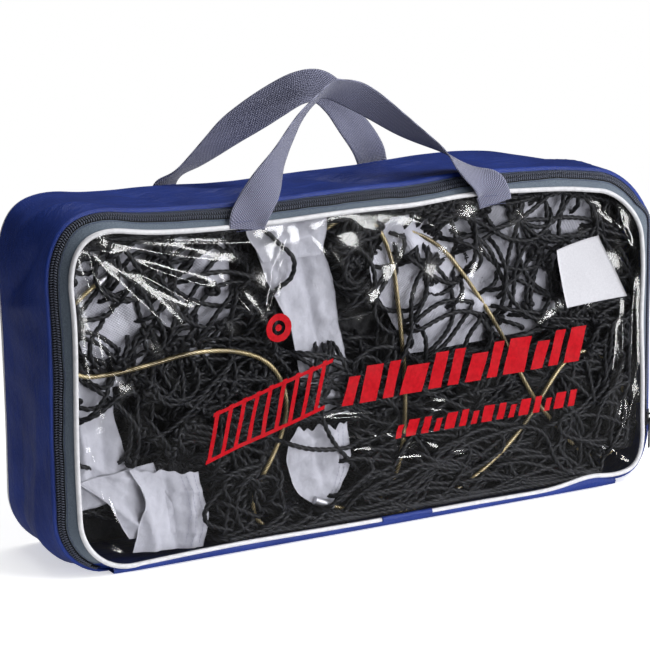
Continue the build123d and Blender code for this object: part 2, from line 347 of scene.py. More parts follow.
def webbing_cloth():
    """Woven handle webbing: bright float threads on a darker ground, in slanted rows, in UV millimetres."""
    mat = material("grey webbing", (0.17, 0.17, 0.25), 0.62, Sheen_Weight=0.3)
    n = Nodes(mat)
    uv = n.coordinates("UV", turn=(0, 0, math.radians(32)))
    weave = n.threads(uv, 2.0, 1.5)
    parts = n.add("ShaderNodeSeparateXYZ", Vector=n.coordinates("UV"))
    pick = n.math("SINE", n.math("MULTIPLY", parts.outputs[0], 2 * math.pi / 0.75))
    grain = n.noise(n.coordinates("UV"), 1.8, 2)
    height = n.math("ADD", weave, n.math("MULTIPLY", pick, 0.25))
    tone = n.math("ADD", height, n.math("MULTIPLY", n.math("SUBTRACT", grain, 0.5), 0.4))
    n.color(n.ramp(n.level(tone, -1, 1, 0, 1), 0.3, 0.85, (0.05, 0.053, 0.1), (0.29, 0.3, 0.43)))
    n.bump(height, 0.5, 0.0005)
    return mat


def white_cloth(name="white tape", pitch=0.8, darker_by=0.0):
    mat = material(name, (0.66, 0.66, 0.73), 0.85, Sheen_Weight=0.2)
    n = Nodes(mat)
    weave = n.threads(n.coordinates("UV"), pitch, pitch)
    soft = n.noise(n.coordinates(scale=(1000, 1000, 1000)), 0.05, 4)
    tone = n.math("ADD", n.math("MULTIPLY", weave, 0.05), soft)
    # darker_by lowers the dark end of the tone ramp.
    n.color(n.ramp(tone, 0.3, 0.75, (0.53 - darker_by, 0.53 - darker_by, 0.58 - darker_by), (0.71, 0.71, 0.77)))
    crumple = n.noise(n.coordinates(scale=(1000, 1000, 1000)), 0.075, 5, 0.55)
    n.bump(n.math("ADD", n.math("MULTIPLY", weave, 0.12), n.math("MULTIPLY", crumple, 2.6)), 0.75, 0.002)
    return mat


def crest_of(n):
    """How far a rope's surface stands out between its grooves, from the mesh's first UV coordinate; colours use it
    for painted shade in the grooves and a painted highlight on the crests.
    """
    parts = n.add("ShaderNodeSeparateXYZ", Vector=n.coordinates("UV"))
    return parts.outputs[0]


def twine():
    mat = material("black twine", (0.006, 0.006, 0.008), 0.3, Specular_IOR_Level=0.3)
    n = Nodes(mat)
    fibre = n.noise(n.coordinates(scale=(1000, 1000, 1000)), 1.6, 3)
    crest = crest_of(n)
    # Random fibre tone, plus painted shade in the grooves and a painted highlight on the crests.
    fibre_tone_and_groove_shade = n.math("ADD", crest, n.math("MULTIPLY", n.math("SUBTRACT", fibre, 0.5), 0.35))
    n.color(n.ramp(fibre_tone_and_groove_shade, 0.62, 1.0, (0.0005, 0.0005, 0.0007), (0.027, 0.028, 0.034)))
    n.roughness(n.level(fibre_tone_and_groove_shade, 0.4, 1.0, 0.6, 0.24))
    n.bump(fibre, 0.5, 0.0005)
    return mat


def dark_core():
    mat = material("net behind", (0.006, 0.006, 0.008), 0.7)
    n = Nodes(mat)
    lumps = n.noise(n.coordinates(scale=(1000, 1000, 1000)), 0.12, 5)
    n.color(n.ramp(lumps, 0.4, 0.8, (0.003, 0.003, 0.004), (0.018, 0.018, 0.022)))
    n.bump(lumps, 1.0, 0.004)
    return mat


def clear_film():
    """Soft PVC: mostly see-through, brighter where it is seen at a slant."""
    mat = bpy.data.materials.new("clear film")
    mat.use_nodes = True
    tree = mat.node_tree
    tree.nodes.clear()
    n = Nodes(mat)
    through = n.add("ShaderNodeBsdfTransparent", Color=(0.93, 0.935, 0.96, 1))
    gloss = n.add("ShaderNodeBsdfGlossy", Roughness=0.1)
    fresnel = n.add("ShaderNodeFresnel", IOR=1.46)
    fresnel_back = n.add("ShaderNodeFresnel", IOR=1 / 1.46)
    side = n.add("ShaderNodeNewGeometry")
    ripple = n.noise(n.coordinates(scale=(1000, 1000, 1000)), 0.04, 1.5, 0.5)
    bump = n.add("ShaderNodeBump", Height=ripple, Strength=0.11, Distance=0.0025)
    n.put(gloss.inputs["Normal"], bump.outputs[0])
    n.put(fresnel.inputs["Normal"], bump.outputs[0])
    n.put(fresnel_back.inputs["Normal"], bump.outputs[0])
    behind = side.outputs["Backfacing"]
    front_part = n.math("MULTIPLY", fresnel.outputs[0], n.math("SUBTRACT", 1.0, behind))
    share = n.math("ADD", front_part, n.math("MULTIPLY", fresnel_back.outputs[0], behind))
    mix = n.add("ShaderNodeMixShader", Fac=share)
    n.put(mix.inputs[1], through.outputs[0])
    n.put(mix.inputs[2], gloss.outputs[0])
    out = n.add("ShaderNodeOutputMaterial")
    n.put(out.inputs["Surface"], mix.outputs[0])
    return mat


def white_cord():
    mat = material("white piping", (0.82, 0.82, 0.86), 0.35, Coat_Weight=0.3)
    n = Nodes(mat)
    scuff = n.noise(n.coordinates(scale=(1000, 1000, 1000)), 0.25, 4)
    n.color(n.ramp(scuff, 0.3, 0.6, (0.52, 0.52, 0.55), (0.62, 0.62, 0.65)))
    n.bump(scuff, 0.3, 0.0006)
    return mat


def black_gloss(name, color=(0.01, 0.01, 0.012), roughness=0.25, metallic=0.0):
    mat = material(name, color, roughness, Metallic=metallic)
    n = Nodes(mat)
    wear = n.noise(n.coordinates(scale=(1000, 1000, 1000)), 1.5, 4)
    n.roughness(n.level(wear, 0.3, 0.7, roughness, roughness + 0.2))
    n.bump(wear, 0.2, 0.0002)
    return mat


def jacketed_wire():
    """Brass-coloured wire strands under a clear coat."""
    mat = material("jacketed wire", (0.5, 0.38, 0.14), 0.3, Metallic=0.6, Coat_Weight=1.0, Coat_Roughness=0.06)
    n = Nodes(mat)
    grain = n.noise(n.coordinates(scale=(1000, 1000, 1000)), 0.7, 3)
    shade = n.noise(n.coordinates(scale=(1000, 1000, 1000)), 0.028, 1)
    # Tone rises on the strands' crests: painted highlight on the crests and painted shade between the strands, with
    # random grain.
    tone = n.math("ADD", crest_of(n), n.math("MULTIPLY", n.math("SUBTRACT", grain, 0.5), 0.9))
    tone = n.math("SUBTRACT", tone, n.level(shade, 0.4, 0.6, 0.0, 0.5))
    n.color(n.ramp(tone, 0.1, 1.0, (0.07, 0.05, 0.016), (0.8, 0.64, 0.33)))
    n.bump(grain, 0.4, 0.0003)
    return mat


def red_ink():
    mat = material("red print", (0.42, 0.0, 0.006), 0.5, Specular_IOR_Level=0.1)
    n = Nodes(mat)
    patchy = n.noise(n.coordinates(scale=(1000, 1000, 1000)), 0.35, 4)
    n.color(n.ramp(patchy, 0.3, 0.62, (0.3, 0.0, 0.004), (0.44, 0.0, 0.007)))
    n.roughness(n.level(patchy, 0.3, 0.7, 0.32, 0.5))
    return mat


def label_paper():
    mat = material("label paper", (0.76, 0.76, 0.82), 0.75)
    n = Nodes(mat)
    grain = n.noise(n.coordinates(scale=(1000, 1000, 1000)), 0.8, 4)
    n.color(n.ramp(grain, 0.3, 0.7, (0.48, 0.48, 0.52), (0.55, 0.55, 0.59)))
    n.bump(grain, 0.15, 0.0003)
    return mat


def ferrule_metal():
    mat = material("ferrule", (0.6, 0.6, 0.62), 0.35, Metallic=1.0)
    n = Nodes(mat)
    marks = n.noise(n.coordinates(scale=(1000, 1000, 1000)), 0.7, 4)
    n.roughness(n.level(marks, 0.3, 0.7, 0.3, 0.5))
    n.bump(marks, 0.3, 0.0003)
    return mat


BLUE = blue_cloth()
ZIP_CLOTH = zip_cloth()
WEBBING = webbing_cloth()
TAPE_CLOTH = white_cloth()
MESH_CLOTH = white_cloth("woven white", 2.2, 0.08)
TWINE = twine()
CORE = dark_core()
FILM = clear_film()
PIPING = white_cord()
# The teeth are bluish grey, lighter than the black chain, as a painted highlight on each tooth.
COIL = black_gloss("zip coil", (0.075, 0.085, 0.12), 0.25)
COIL_BED = black_gloss("zip chain bed", (0.003, 0.003, 0.004), 0.7)
METAL = black_gloss("black enamel", roughness=0.22)
WIRE = jacketed_wire()
INK = red_ink()
PAPER = label_paper()
FERRULE = ferrule_metal()
THREAD = black_gloss("sewing thread", (0.05, 0.06, 0.16), 0.6)
PALE_THREAD = black_gloss("pale thread", (0.45, 0.45, 0.55), 0.6)


# ---------------------------------------------------------------- camera


def camera():
    azimuth, elevation, roll = (math.radians(a) for a in (-29.49, 12.37, -0.65))
    distance = 1.7533
    target = Vector((-0.01756, 0.0, 0.14409))
    back = Vector((math.sin(azimuth) * math.cos(elevation), -math.cos(azimuth) * math.cos(elevation),
                   math.sin(elevation)))
    right = (-back).cross(Vector((0, 0, 1))).normalized()
    up = right.cross(-back)
    x_axis = right * math.cos(roll) + up * math.sin(roll)
    y_axis = up * math.cos(roll) - right * math.sin(roll)
    data = bpy.data.cameras.new("camera")
    data.sensor_width = 36.0
    data.lens = 132.9
    data.clip_start = 0.05
    obj = bpy.data.objects.new("camera", data)
    bpy.context.collection.objects.link(obj)
    turn = Matrix((x_axis, y_axis, back)).transposed().to_4x4()
    obj.matrix_world = Matrix.Translation(target + back * distance) @ turn
    bpy.context.scene.camera = obj


camera()


# ---------------------------------------------------------------- cables

CABLE_D = 0.0035
CABLE_LEFT = [
    (-44, -33.5, 216), (-26, -29, 226), (-4, -28.5, 230), (11, -30, 219), (19, -36, 194), (23, -37, 158),
    (28, -37, 112), (28, -37, 70), (23, -36.5, 38), (10, -36, 18), (-12, -36, 8), (-44, -36, 6.5),
    (-80, -36, 5.5), (-98, -36.5, 18), (-100, -37, 38), (-85, -37, 58), (-72, -37, 84), (-70, -37, 110),
    (-84, -37, 133), (-110, -37, 144), (-144, -37, 147), (-178, -37, 141.5), (-206, -37, 138.5),
    (-230, -37, 139), (-242, -36.5, 153), (-242, -36, 173), (-232, -36, 191), (-214, -35.5, 202),
]
CABLE_RIGHT = [
    (34, -34, 214), (60, -31, 204), (84, -36, 172), (112, -37, 131), (138, -36.5, 80), (164, -36.5, 50),
    (186, -36, 27), (208, -35, 18), (227, -35, 30), (233, -35, 54), (223, -35, 80), (205, -36, 100),
    (185, -38.5, 109), (165, -41, 101), (148, -41.5, 80), (132, -41.5, 59), (108, -41.5, 37),
    (78, -41.5, 19), (46, -41, 8), (18, -41, 6.5), (-10, -40.5, 9), (-36, -40.5, 20),
]


def route_line(name, points):
    """The NURBS line through a route's control points, read back in millimetres."""
    curve = bpy.data.curves.new(name, "CURVE")
    curve.dimensions = "3D"
    curve.resolution_u = 24
    line = curve.splines.new("NURBS")
    line.points.add(len(points) - 1)
    for point, place in zip(line.points, points):
        point.co = (place[0] * MM, place[1] * MM, place[2] * MM, 1)
    line.order_u = 3
    line.use_endpoint_u = True
    holder = bpy.data.objects.new(name, curve)
    bpy.context.collection.objects.link(holder)
    mesh = bpy.data.meshes.new_from_object(holder.evaluated_get(bpy.context.evaluated_depsgraph_get()))
    read = np.array([v.co[:] for v in mesh.vertices]) / MM
    bpy.data.objects.remove(holder)
    bpy.data.meshes.remove(mesh)
    bpy.data.curves.remove(curve)
    return read


def cable(name, points):
    """Six wire strands twisted together, under a clear coat."""
    path = even_path(route_line(name + "_route", points), 0.8)
    p, f, uv = joined_tubes([path], CABLE_D / MM / 2, 18, lobes=6, depth=0.22, pitch=16.0)
    obj = mesh_object(name, p, f, WIRE, "bag", uv=uv)
    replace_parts(obj, "headband_" + name)
    return path


LEFT_PATH = cable("cable_left", CABLE_LEFT)
RIGHT_PATH = cable("cable_right", CABLE_RIGHT)


# ---------------------------------------------------------------- outlines


def rounded_outline(half_x, low, high, radii, counts=(14, 60, 18, 150, 18, 60, 14)):
    """From the low right corner up the right side, over the top and down to the low left corner, as x and z."""
    low_r, high_r = radii
    arcs = []

    def arc(cx, cz, r, a0, a1, n):
        a = np.radians(np.linspace(a0, a1, n, endpoint=False))
        arcs.append(np.stack([cx + r * np.cos(a), cz + r * np.sin(a)], axis=1))

    def line(p, q, n):
        t = np.linspace(0, 1, n, endpoint=False)[:, None]
        arcs.append(np.array(p) * (1 - t) + np.array(q) * t)

    x = half_x
    arc(x - low_r, low + low_r, low_r, -90, 0, counts[0])
    line((x, low + low_r), (x, high - high_r), counts[1])
    arc(x - high_r, high - high_r, high_r, 0, 90, counts[2])
    line((x - high_r, high), (high_r - x, high), counts[3])
    arc(high_r - x, high - high_r, high_r, 90, 180, counts[4])
    line((-x, high - high_r), (-x, low + low_r), counts[5])
    arc(low_r - x, low + low_r, low_r, 180, 270, counts[6])
    arcs.append(np.array([[low_r - x, low]]))
    return np.concatenate(arcs)


# Where the soft seams wander from straight: centre x and z, reach, and the shift in x and z.
FRONT_BUMPS = [
    (-222, 228, 22, -6, 7), (218, 222, 30, -6, -7), (-110, 236, 50, 0, -2.7), (85, 238, 35, 0, 2.5),
    (190, 3, 20, 0, 6), (232, 14, 14, 3, -4), (-238, 85, 45, -2, 0), (236, 130, 26, -2.5, 0), (30, 236, 20, 0, -1.2),
    (70, 0, 90, 0, 2.2), (-120, 0, 66, 0, 3.2),
]
BACK_BUMPS = [
    (-234, 234, 22, -4, 9),
    (108, 250, 42, 0, 4.5), (212, 244, 26, -2, -9), (-75, 250, 26, 0, -2), (-250, 110, 60, 1.5, 0),
]


def bump_field(points, bumps):
    shift = np.zeros_like(points)
    for x, z, reach, dx, dz in bumps:
        near = np.exp(-((points[..., 0] - x) ** 2 + (points[..., 2] - z) ** 2) / (2 * reach**2))
        shift[..., 0] += dx * near
        shift[..., 2] += dz * near
    return shift


def soften(points):
    """Move points of the bag as its soft seams wander, front and back each in their own way."""
    points = np.asarray(points, dtype=float)
    back = np.clip((points[..., 1] - FRONT_Y) / (BACK_Y - FRONT_Y), 0, 1)[..., None]
    moved = points + bump_field(points, FRONT_BUMPS) * (1 - back) + bump_field(points, BACK_BUMPS) * back
    moved[..., 2] = np.maximum(moved[..., 2], 0.0)
    return moved


def wave(a, b, *terms):
    """A sum of given waves of two coordinates: each term is amplitude, wave along a, wave along b, phase."""
    total = np.zeros(np.broadcast(a, b).shape)
    for amount, ka, kb, phase in terms:
        total = total + amount * np.sin(ka * a + kb * b + phase)
    return total


BAND_LINE = rounded_outline(HALF_LENGTH, 0.0, HEIGHT, BAND_CORNERS)
FRONT_LINE = rounded_outline(FRONT_HALF, FRONT_LOW_Z, FRONT_HIGH_Z, FRONT_CORNERS)
SEAM_STEPS = np.concatenate([[0], np.cumsum(np.linalg.norm(np.diff(BAND_LINE, axis=0), axis=1))])


def strip_points(share, proud=0.0):
    """Points along the sloping zip strip: share 0 is the band's edge, and 1 is the front piping."""
    a = np.stack([BAND_LINE[:, 0], np.full(len(BAND_LINE), BAND_EDGE_Y), BAND_LINE[:, 1]], axis=1)
    b = np.stack([FRONT_LINE[:, 0], np.full(len(FRONT_LINE), FRONT_Y), FRONT_LINE[:, 1]], axis=1)
    along = np.gradient(a, axis=0)
    normal = np.cross(b - a, along)
    normal /= np.linalg.norm(normal, axis=1, keepdims=True) + 1e-9
    middle = np.array([0, 0, HEIGHT / 2])
    flip = np.sign(np.sum(normal * (a - middle), axis=1))
    flip[flip == 0] = 1
    normal *= flip[:, None]
    sway = wave(SEAM_STEPS, 0 * SEAM_STEPS, (0.028, 0.031, 0, 0.4), (0.02, 0.083, 0, 1.3), (0.01, 0.21, 0, 2.0))
    sway += 0.13 * np.exp(-(((SEAM_STEPS - 500) / 170) ** 4))
    sway *= np.clip((SEAM_STEPS - 90) / 50, 0, 1)
    at = np.clip(share + sway * math.sin(math.pi * min(max(share, 0), 1)), 0, 1)[:, None]
    flat = a * (1 - at) + b * at + normal * proud
    slider_run = np.clip((flat[:, 0] - 190) / 20, 0, 1) * np.clip(np.minimum(flat[:, 2] - 12, 222 - flat[:,
        2]) / 16, 0, 1)
    held = slider_run * float(np.interp(share, [0, 0.17, 0.53, 1], [0, 1, 1, 0]))
    moved = soften(flat)
    return moved + (flat - moved) * held[:, None]


def strip_sheet(name, low_share, high_share, columns, body, mat, first=0, last=None, nodes=(), proud=0.0):
    shares = np.linspace(low_share, high_share, columns)
    grid = np.stack([strip_points(s, proud) for s in shares], axis=1)[first:last]
    p, f = solid_sheet(grid, 0.7)
    steps = np.repeat(SEAM_STEPS[first:last][:, None], columns, 1)
    across = np.repeat((shares * 19.8)[None, :], len(grid), 0)
    uv = np.stack([steps, across], axis=-1).reshape(-1, 2)
    obj = mesh_object(name, p, f, mat, body, uv=np.concatenate([uv, uv]))
    if nodes:
        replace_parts(obj, *nodes)
    return obj, grid


def line_index(low_z, side):
    """The first point of the band's line above low_z on the right side, or the last one on the left."""
    above = np.where((BAND_LINE[:, 1] > low_z) & (BAND_LINE[:, 0] * side > 0))[0]
    return int(above[0] if side > 0 else above[-1] + 1)


# ---------------------------------------------------------------- ridges and waves


def ridges(x, z, lines):
    """Height of folds: each line has its two ends, its half width and its height."""
    total = np.zeros_like(x)
    for x0, z0, x1, z1, width, height in lines:
        dx, dz = x1 - x0, z1 - z0
        long = math.hypot(dx, dz)
        t = ((x - x0) * dx + (z - z0) * dz) / long**2
        off = ((x - x0) * dz - (z - z0) * dx) / long
        near = np.clip(t, 0, 1)
        end = np.hypot(x - x0 - near * dx, z - z0 - near * dz)
        fade = np.exp(-(np.maximum(end**2 - off**2, 0)) / (2 * (width * 1.5) ** 2))
        total += height * np.exp(-np.abs(off / width) ** 1.5) * fade * (0.35 + 0.65 * np.sin(math.pi * near) ** 0.7)
    return total


def noise_field(x, y, z, reach, octaves=3):
    """Soft noise at points in millimetres, about -1 to 1."""
    flat = np.stack([np.ravel(x), np.ravel(y), np.ravel(z)], axis=1) / reach
    values = [noise.fractal(p, 1.0, 2.0, octaves) for p in flat]
    return np.array(values).reshape(np.shape(x))


# ---------------------------------------------------------------- zip strip

ALL_LEFT = line_index(1.2, -1)
TAPE_RIGHT = line_index(8.0, 1)
CHAIN_RIGHT = line_index(37.0, 1)
FLAP_RIGHT = line_index(60.0, 1)
FLAP_LEFT = line_index(5.0, -1)

strip_sheet("zip_tape_outer_cloth", 0.02, 0.24, 5, "bag", ZIP_CLOTH, TAPE_RIGHT, ALL_LEFT,
            ["zip_tape_outer"])
strip_sheet("zip_tape_inner_cloth", 0.44, 0.97, 9, "flap", ZIP_CLOTH, FLAP_RIGHT, FLAP_LEFT,
            ["zip_tape_inner"])
strip_sheet("zip_bed_outer", 0.17, 0.325, 4, "bag", COIL_BED, CHAIN_RIGHT, ALL_LEFT, proud=0.2)
strip_sheet("zip_bed_inner", 0.345, 0.5, 4, "flap", COIL_BED, FLAP_RIGHT, FLAP_LEFT, proud=0.2)
strip_sheet("corner_gusset_right", 0.0, 0.93, 9, "bag", BLUE, 0, FLAP_RIGHT + 3, proud=-1.1)
strip_sheet("corner_gusset_left", 0.0, 0.9, 9, "bag", BLUE, ALL_LEFT - 12, None, proud=-1.1)


def coil_teeth(name, low_share, high_share, lean, first, last, body, node):
    """One row of a coil zip: short rounded bars across the chain, 1.8 mm apart."""
    low, high = strip_points(low_share, 0.75)[first:last], strip_points(high_share, 0.75)[first:last]
    crown = strip_points((low_share + high_share) / 2, 1.55)[first:last]
    run = lengths_along(low)
    at = np.arange(0.9, run[-1] - 0.9, 1.8)
    ends = [np.stack([np.interp(at + shift, run, line[:, k]) for k in range(3)], axis=1)
            for line, shift in ((low, lean), (crown, 0.0), (high, -lean))]
    bars = []
    for a, m, b in zip(*ends):
        bars.append(np.stack([a, a * 0.45 + m * 0.62 - b * 0.07, m, b * 0.45 + m * 0.62 - a * 0.07, b]))
    p, f, uv = joined_tubes(bars, 0.62, 6)
    obj = mesh_object(name, p, f, COIL, body, uv=uv)
    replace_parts(obj, node)
    return obj


coil_teeth("zip_teeth_outer", 0.205, 0.335, 0.35, CHAIN_RIGHT, ALL_LEFT, "bag", "zip_coil_outer")
coil_teeth("zip_teeth_inner", 0.35, 0.48, -0.35, FLAP_RIGHT, FLAP_LEFT, "flap", "zip_coil_inner")


def stitches(name, line, step, length, radius, mat, body):
    """Short raised threads along a line, each thinner at its two ends."""
    line = even_path(line, 0.4)
    run = lengths_along(line)
    away = line.copy()
    bars = []
    for s in np.arange(0.5, run[-1] - length, step):
        at = np.array([0.0, 0.25, 0.75, 1.0]) * length + s
        bars.append(np.stack([np.interp(at, run, away[:, k]) for k in range(3)], axis=1))
    p, f, uv = joined_tubes(bars, radius, 6)
    return mesh_object(name, p, f, mat, body, uv=uv)


stitches("hem_stitches", strip_points(0.075, 1.75)[TAPE_RIGHT:ALL_LEFT], 3.3, 2.5, 0.28, PALE_THREAD, "bag")
stitches("tape_stitches_outer", strip_points(0.16, 0.5)[TAPE_RIGHT:ALL_LEFT], 2.6, 1.9, 0.2, THREAD, "bag")
stitches("tape_stitches_inner", strip_points(0.56, 0.3)[FLAP_RIGHT:FLAP_LEFT], 2.6, 1.9, 0.2, THREAD, "flap")


# ---------------------------------------------------------------- bag shell


def outward(line):
    """Outward normals of a closed-in outline in x and z."""
    along = np.gradient(line, axis=0)
    normal = np.stack([along[:, 1], -along[:, 0]], axis=1)
    return normal / np.linalg.norm(normal, axis=1, keepdims=True)


SIDE_FOLDS = [
    # along the seam (mm from the low right), depth y, the same for the end, half width, height
    (470, -20, 520, 30, 9, -2.6), (560, -28, 610, 20, 10, 2.2), (640, -24, 660, 30, 8, -2.0),
    (705, -26, 745, 10, 7, 2.2), (742, -30, 790, 22, 8, -2.6), (790, -24, 800, 40, 9, 2.0),
    (1010, -28, 1075, -8, 6, 2.6), (1000, -10, 1090, 16, 9, -3.2), (1020, 16, 1085, 30, 8, 2.6),
    (1060, -26, 1100, 24, 7, -2.4), (860, -20, 1000, -6, 10, 1.8), (880, 20, 985, 30, 9, -2.0),
    (120, -24, 190, 10, 9, 2.2), (60, -20, 100, 20, 8, -2.4), (240, -20, 300, 30, 10, 2.0),
    (330, -30, 420, 24, 12, -2.4), (380, 0, 460, 36, 9, 1.8),
]


def side_band():
    """The band round the bag's two ends and top, with its hem folded over the zip tape."""
    depths = np.concatenate([np.linspace(BAND_EDGE_Y, BACK_Y - 0.8, 34)])
    hem = [strip_points(s, h) for s, h in ((0.115, 0.7), (0.1, 1.35), (0.05, 1.3), (0.02, 1.0))]
    normal = outward(BAND_LINE)
    columns = list(hem)
    for y in depths:
        t = (y - BAND_EDGE_Y) / (BACK_Y - BAND_EDGE_Y)
        hold = math.sin(math.pi * t) ** 0.55
        rise = 1.2 * hold + hold * ridges(SEAM_STEPS, np.full_like(SEAM_STEPS, y), SIDE_FOLDS)
        rise += 1.1 * hold * ridges(SEAM_STEPS, np.full_like(SEAM_STEPS, y), SIDE_FOLDS)
        rise += hold * wave(SEAM_STEPS, t, (0.7, 0.045, 5.0, 0.3), (0.5, 0.09, -7.0, 1.0), (0.35, 0.19, 3.0, 2.0))
        rise -= 2.4 * hold * np.exp(-((SEAM_STEPS - 540) / 190) ** 2)
        x = BAND_LINE[:, 0] + normal[:, 0] * rise
        z = BAND_LINE[:, 1] + normal[:, 1] * rise
        columns.append(soften(np.stack([x, np.full_like(x, y), z], axis=1)))
    grid = np.stack(columns, axis=1)
    p, f = solid_sheet(grid, 0.9)
    p[:, 2] = np.maximum(p[:, 2], 0.0)
    obj = mesh_object("side_band_cloth", p, f, BLUE, "bag")
    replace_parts(obj, "side_band")


side_band()


def half_width(z, low, high, half_x, radii):
    """Half the width of a rounded outline at height z."""
    low_r, high_r = radii
    down = np.clip(low_r - (z - low), 0, low_r)
    up = np.clip(high_r - (high - z), 0, high_r)
    cut = low_r - np.sqrt(np.maximum(low_r**2 - down**2, 0)) + high_r - np.sqrt(np.maximum(high_r**2 - up**2, 0))
    return half_x - cut


def panel_grid(rows, columns, low, high, half_x, radii):
    """x and z over a rounded outline, with rows closer together near its top and bottom."""
    t = np.linspace(0, 1, rows)
    t = 0.35 * t + 0.65 * (1 - np.cos(math.pi * t)) / 2
    z = low + (high - low) * t
    wide = half_width(z, low, high, half_x, radii)
    u = np.linspace(-1, 1, columns)
    u = 0.6 * u + 0.4 * np.sin(u * math.pi / 2)
    return wide[:, None] * u[None, :], np.repeat(z[:, None], columns, 1), u[None, :] + 0 * z[:, None], t


def edge_hold(u, t):
    """Nothing at the seams, one in the middle of a panel."""
    rows = np.clip(np.minimum(t, 1 - t) * 7, 0, 1)[:, None]
    return np.sin(np.clip((1 - np.abs(u)) * 6, 0, 1) * math.pi / 2) * np.sin(rows * math.pi / 2)


BACK_FOLDS = [
    (-240, 240, -150, 190, 12, 2.2), (240, 240, 160, 200, 12, 2.0), (-240, 10, -160, 60, 12, 2.2),
    (240, 10, 150, 70, 12, 2.4), (-100, 245, -60, 170, 12, -1.8), (60, 245, 30, 160, 13, -2.0),
    (-180, 120, 40, 90, 22, 1.8), (60, 60, 200, 130, 20, 1.6), (-30, 20, 40, 60, 14, -1.6),
]


def back_panel():
    x, z, u, t = panel_grid(90, 150, 1.2, HEIGHT - 1.2, HALF_LENGTH - 1.2, BAND_CORNERS)
    hold = edge_hold(u, t)
    bulge = 4.5 * (1 - u**2) * np.sin(math.pi * t)[:, None] ** 0.7
    folds = ridges(x, z, BACK_FOLDS) + 1.3 * noise_field(x, 0 * x, z, 60.0)
    y = BACK_Y - 0.6 + bulge + hold * folds
    grid = soften(np.stack([x, y, z], axis=-1))
    p, f = solid_sheet(grid, 0.9)
    obj = mesh_object("back_panel_cloth", p, f, BLUE, "bag")
    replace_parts(obj, "back_panel")


back_panel()


def bottom_panel():
    """The strip the bag stands on, turned up to the piping along its front."""
    profile = [(-47.6, 3.4), (-48.9, 1.9), (-48.3, 0.7), (-46.0, 0.15)] + [(y, 0.0) for y in np.linspace(-42,
        47.4, 26)]
    x = np.linspace(-212, 212, 110)
    grid = np.zeros((len(x), len(profile), 3))
    for k, (y, z) in enumerate(profile):
        lift = 0.6 + 0.6 * wave(x, 0 * x + y, (1.0, 0.05, 0.09, 0.0), (0.8, 0.021, -0.05, 1.1)) if k > 3 else 0.4
        grid[:, k] = np.stack([x, np.full_like(x, y), z + np.maximum(lift, 0.0) + 0.3 + 0 * x], axis=1)
    still = np.clip(np.arange(len(profile)) / 2, 0, 1)
    moved = soften(grid)
    moved[..., 2] += (grid[..., 2] - moved[..., 2]) * still
    tuck = np.clip((np.abs(x) - 192) / 20, 0, 1)[:, None] ** 1.3
    moved[:, :4, 1] += 3.2 * tuck
    moved[:, :4, 2] *= 1 - 0.45 * tuck
    p, f = solid_sheet(moved, 0.8)
    p[:, 2] = np.maximum(p[:, 2], 0.0)
    obj = mesh_object("bottom_panel_cloth", p, f, BLUE, None)
    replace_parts(obj, "bottom_panel")
    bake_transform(obj)


bottom_panel()


def closed_tube(name, path, radius, mat, body, sides=10):
    """A tube round a closed path."""
    path = np.asarray(path)
    ahead, behind = np.roll(path, -1, 0), np.roll(path, 1, 0)
    tangent = ahead - behind
    tangent /= np.linalg.norm(tangent, axis=1, keepdims=True)
    side = np.cross(tangent, [0, 1, 0])
    side /= np.linalg.norm(side, axis=1, keepdims=True)
    up = np.cross(tangent, side)
    angle = np.linspace(0, 2 * math.pi, sides, endpoint=False)
    ring = side[:, None] * np.cos(angle)[None, :, None] + up[:, None] * np.sin(angle)[None, :, None]
    points = path[:, None] + ring * radius
    f = grid_faces(len(path), sides, wrap_rows=True, wrap_columns=True)
    return mesh_object(name, points.reshape(-1, 3), f, mat, body)


def closed_line(outline, y):
    """An open outline closed along the bottom, at depth y, in even steps."""
    ring = np.concatenate([outline, outline[:1]])
    flat = np.stack([ring[:, 0], np.full(len(ring), y), ring[:, 1]], axis=1)
    return even_path(flat, 2.2)[:-1]


front_rim = soften(closed_line(FRONT_LINE, FRONT_Y))
front_rim[:, 2] = np.maximum(front_rim[:, 2], PIPING_R)
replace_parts(closed_tube("front_piping_cord", front_rim, PIPING_R, PIPING, "flap"), "front_piping")
BACK_LINE = rounded_outline(HALF_LENGTH - 0.6, 1.9, HEIGHT - 1.6, BAND_CORNERS)
back_rim = soften(closed_line(BACK_LINE, BACK_Y + PIPING_R))
back_rim[:, 2] = np.maximum(back_rim[:, 2], PIPING_R)
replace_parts(closed_tube("back_piping_cord", back_rim, PIPING_R, PIPING, "bag"), "back_piping")


def joint_patch():
    """A cloth sleeve over the two ends of the piping, a little flattened, its ends rippled."""
    x = np.linspace(0.5, 43.5, 30)
    angle = np.linspace(0, 2 * math.pi, 16, endpoint=False)
    base = soften(np.stack([x, np.full_like(x, FRONT_Y), np.full_like(x, FRONT_LOW_Z)], axis=1))
    points = np.zeros((30, 16, 3))
    for i in range(30):
        flare = 1 + 0.05 * math.exp(-min(i, 29 - i) / 1.5)
        r = 2.2 * flare * (1 + 0.03 * np.sin(3 * angle + i * 0.5))
        points[i] = base[i] + np.stack([0 * angle, r * np.cos(angle), r * np.sin(angle)], axis=1)
    inner = base[:, None] + (points - base[:, None]) * 0.87
    outer_faces = grid_faces(30, 16, wrap_columns=True)
    inner_faces = grid_faces(30, 16, wrap_columns=True, start=480)[:, ::-1]
    rims = []
    for row, flip in ((0, 1), (29, -1)):
        a = row * 16 + np.arange(16)
        b = row * 16 + (np.arange(16) + 1) % 16
        quad = np.stack([a, b, b + 480, a + 480], axis=1)
        rims.append(quad[:, ::flip])
    p = np.concatenate([points.reshape(-1, 3), inner.reshape(-1, 3)])
    p[:, 2] = np.maximum(p[:, 2], 0.0)
    obj = mesh_object("piping_sleeve", p, np.concatenate([outer_faces, inner_faces, *rims]), BLUE, "flap")
    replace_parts(obj, "piping_joint_patch")


joint_patch()


# ---------------------------------------------------------------- clear window

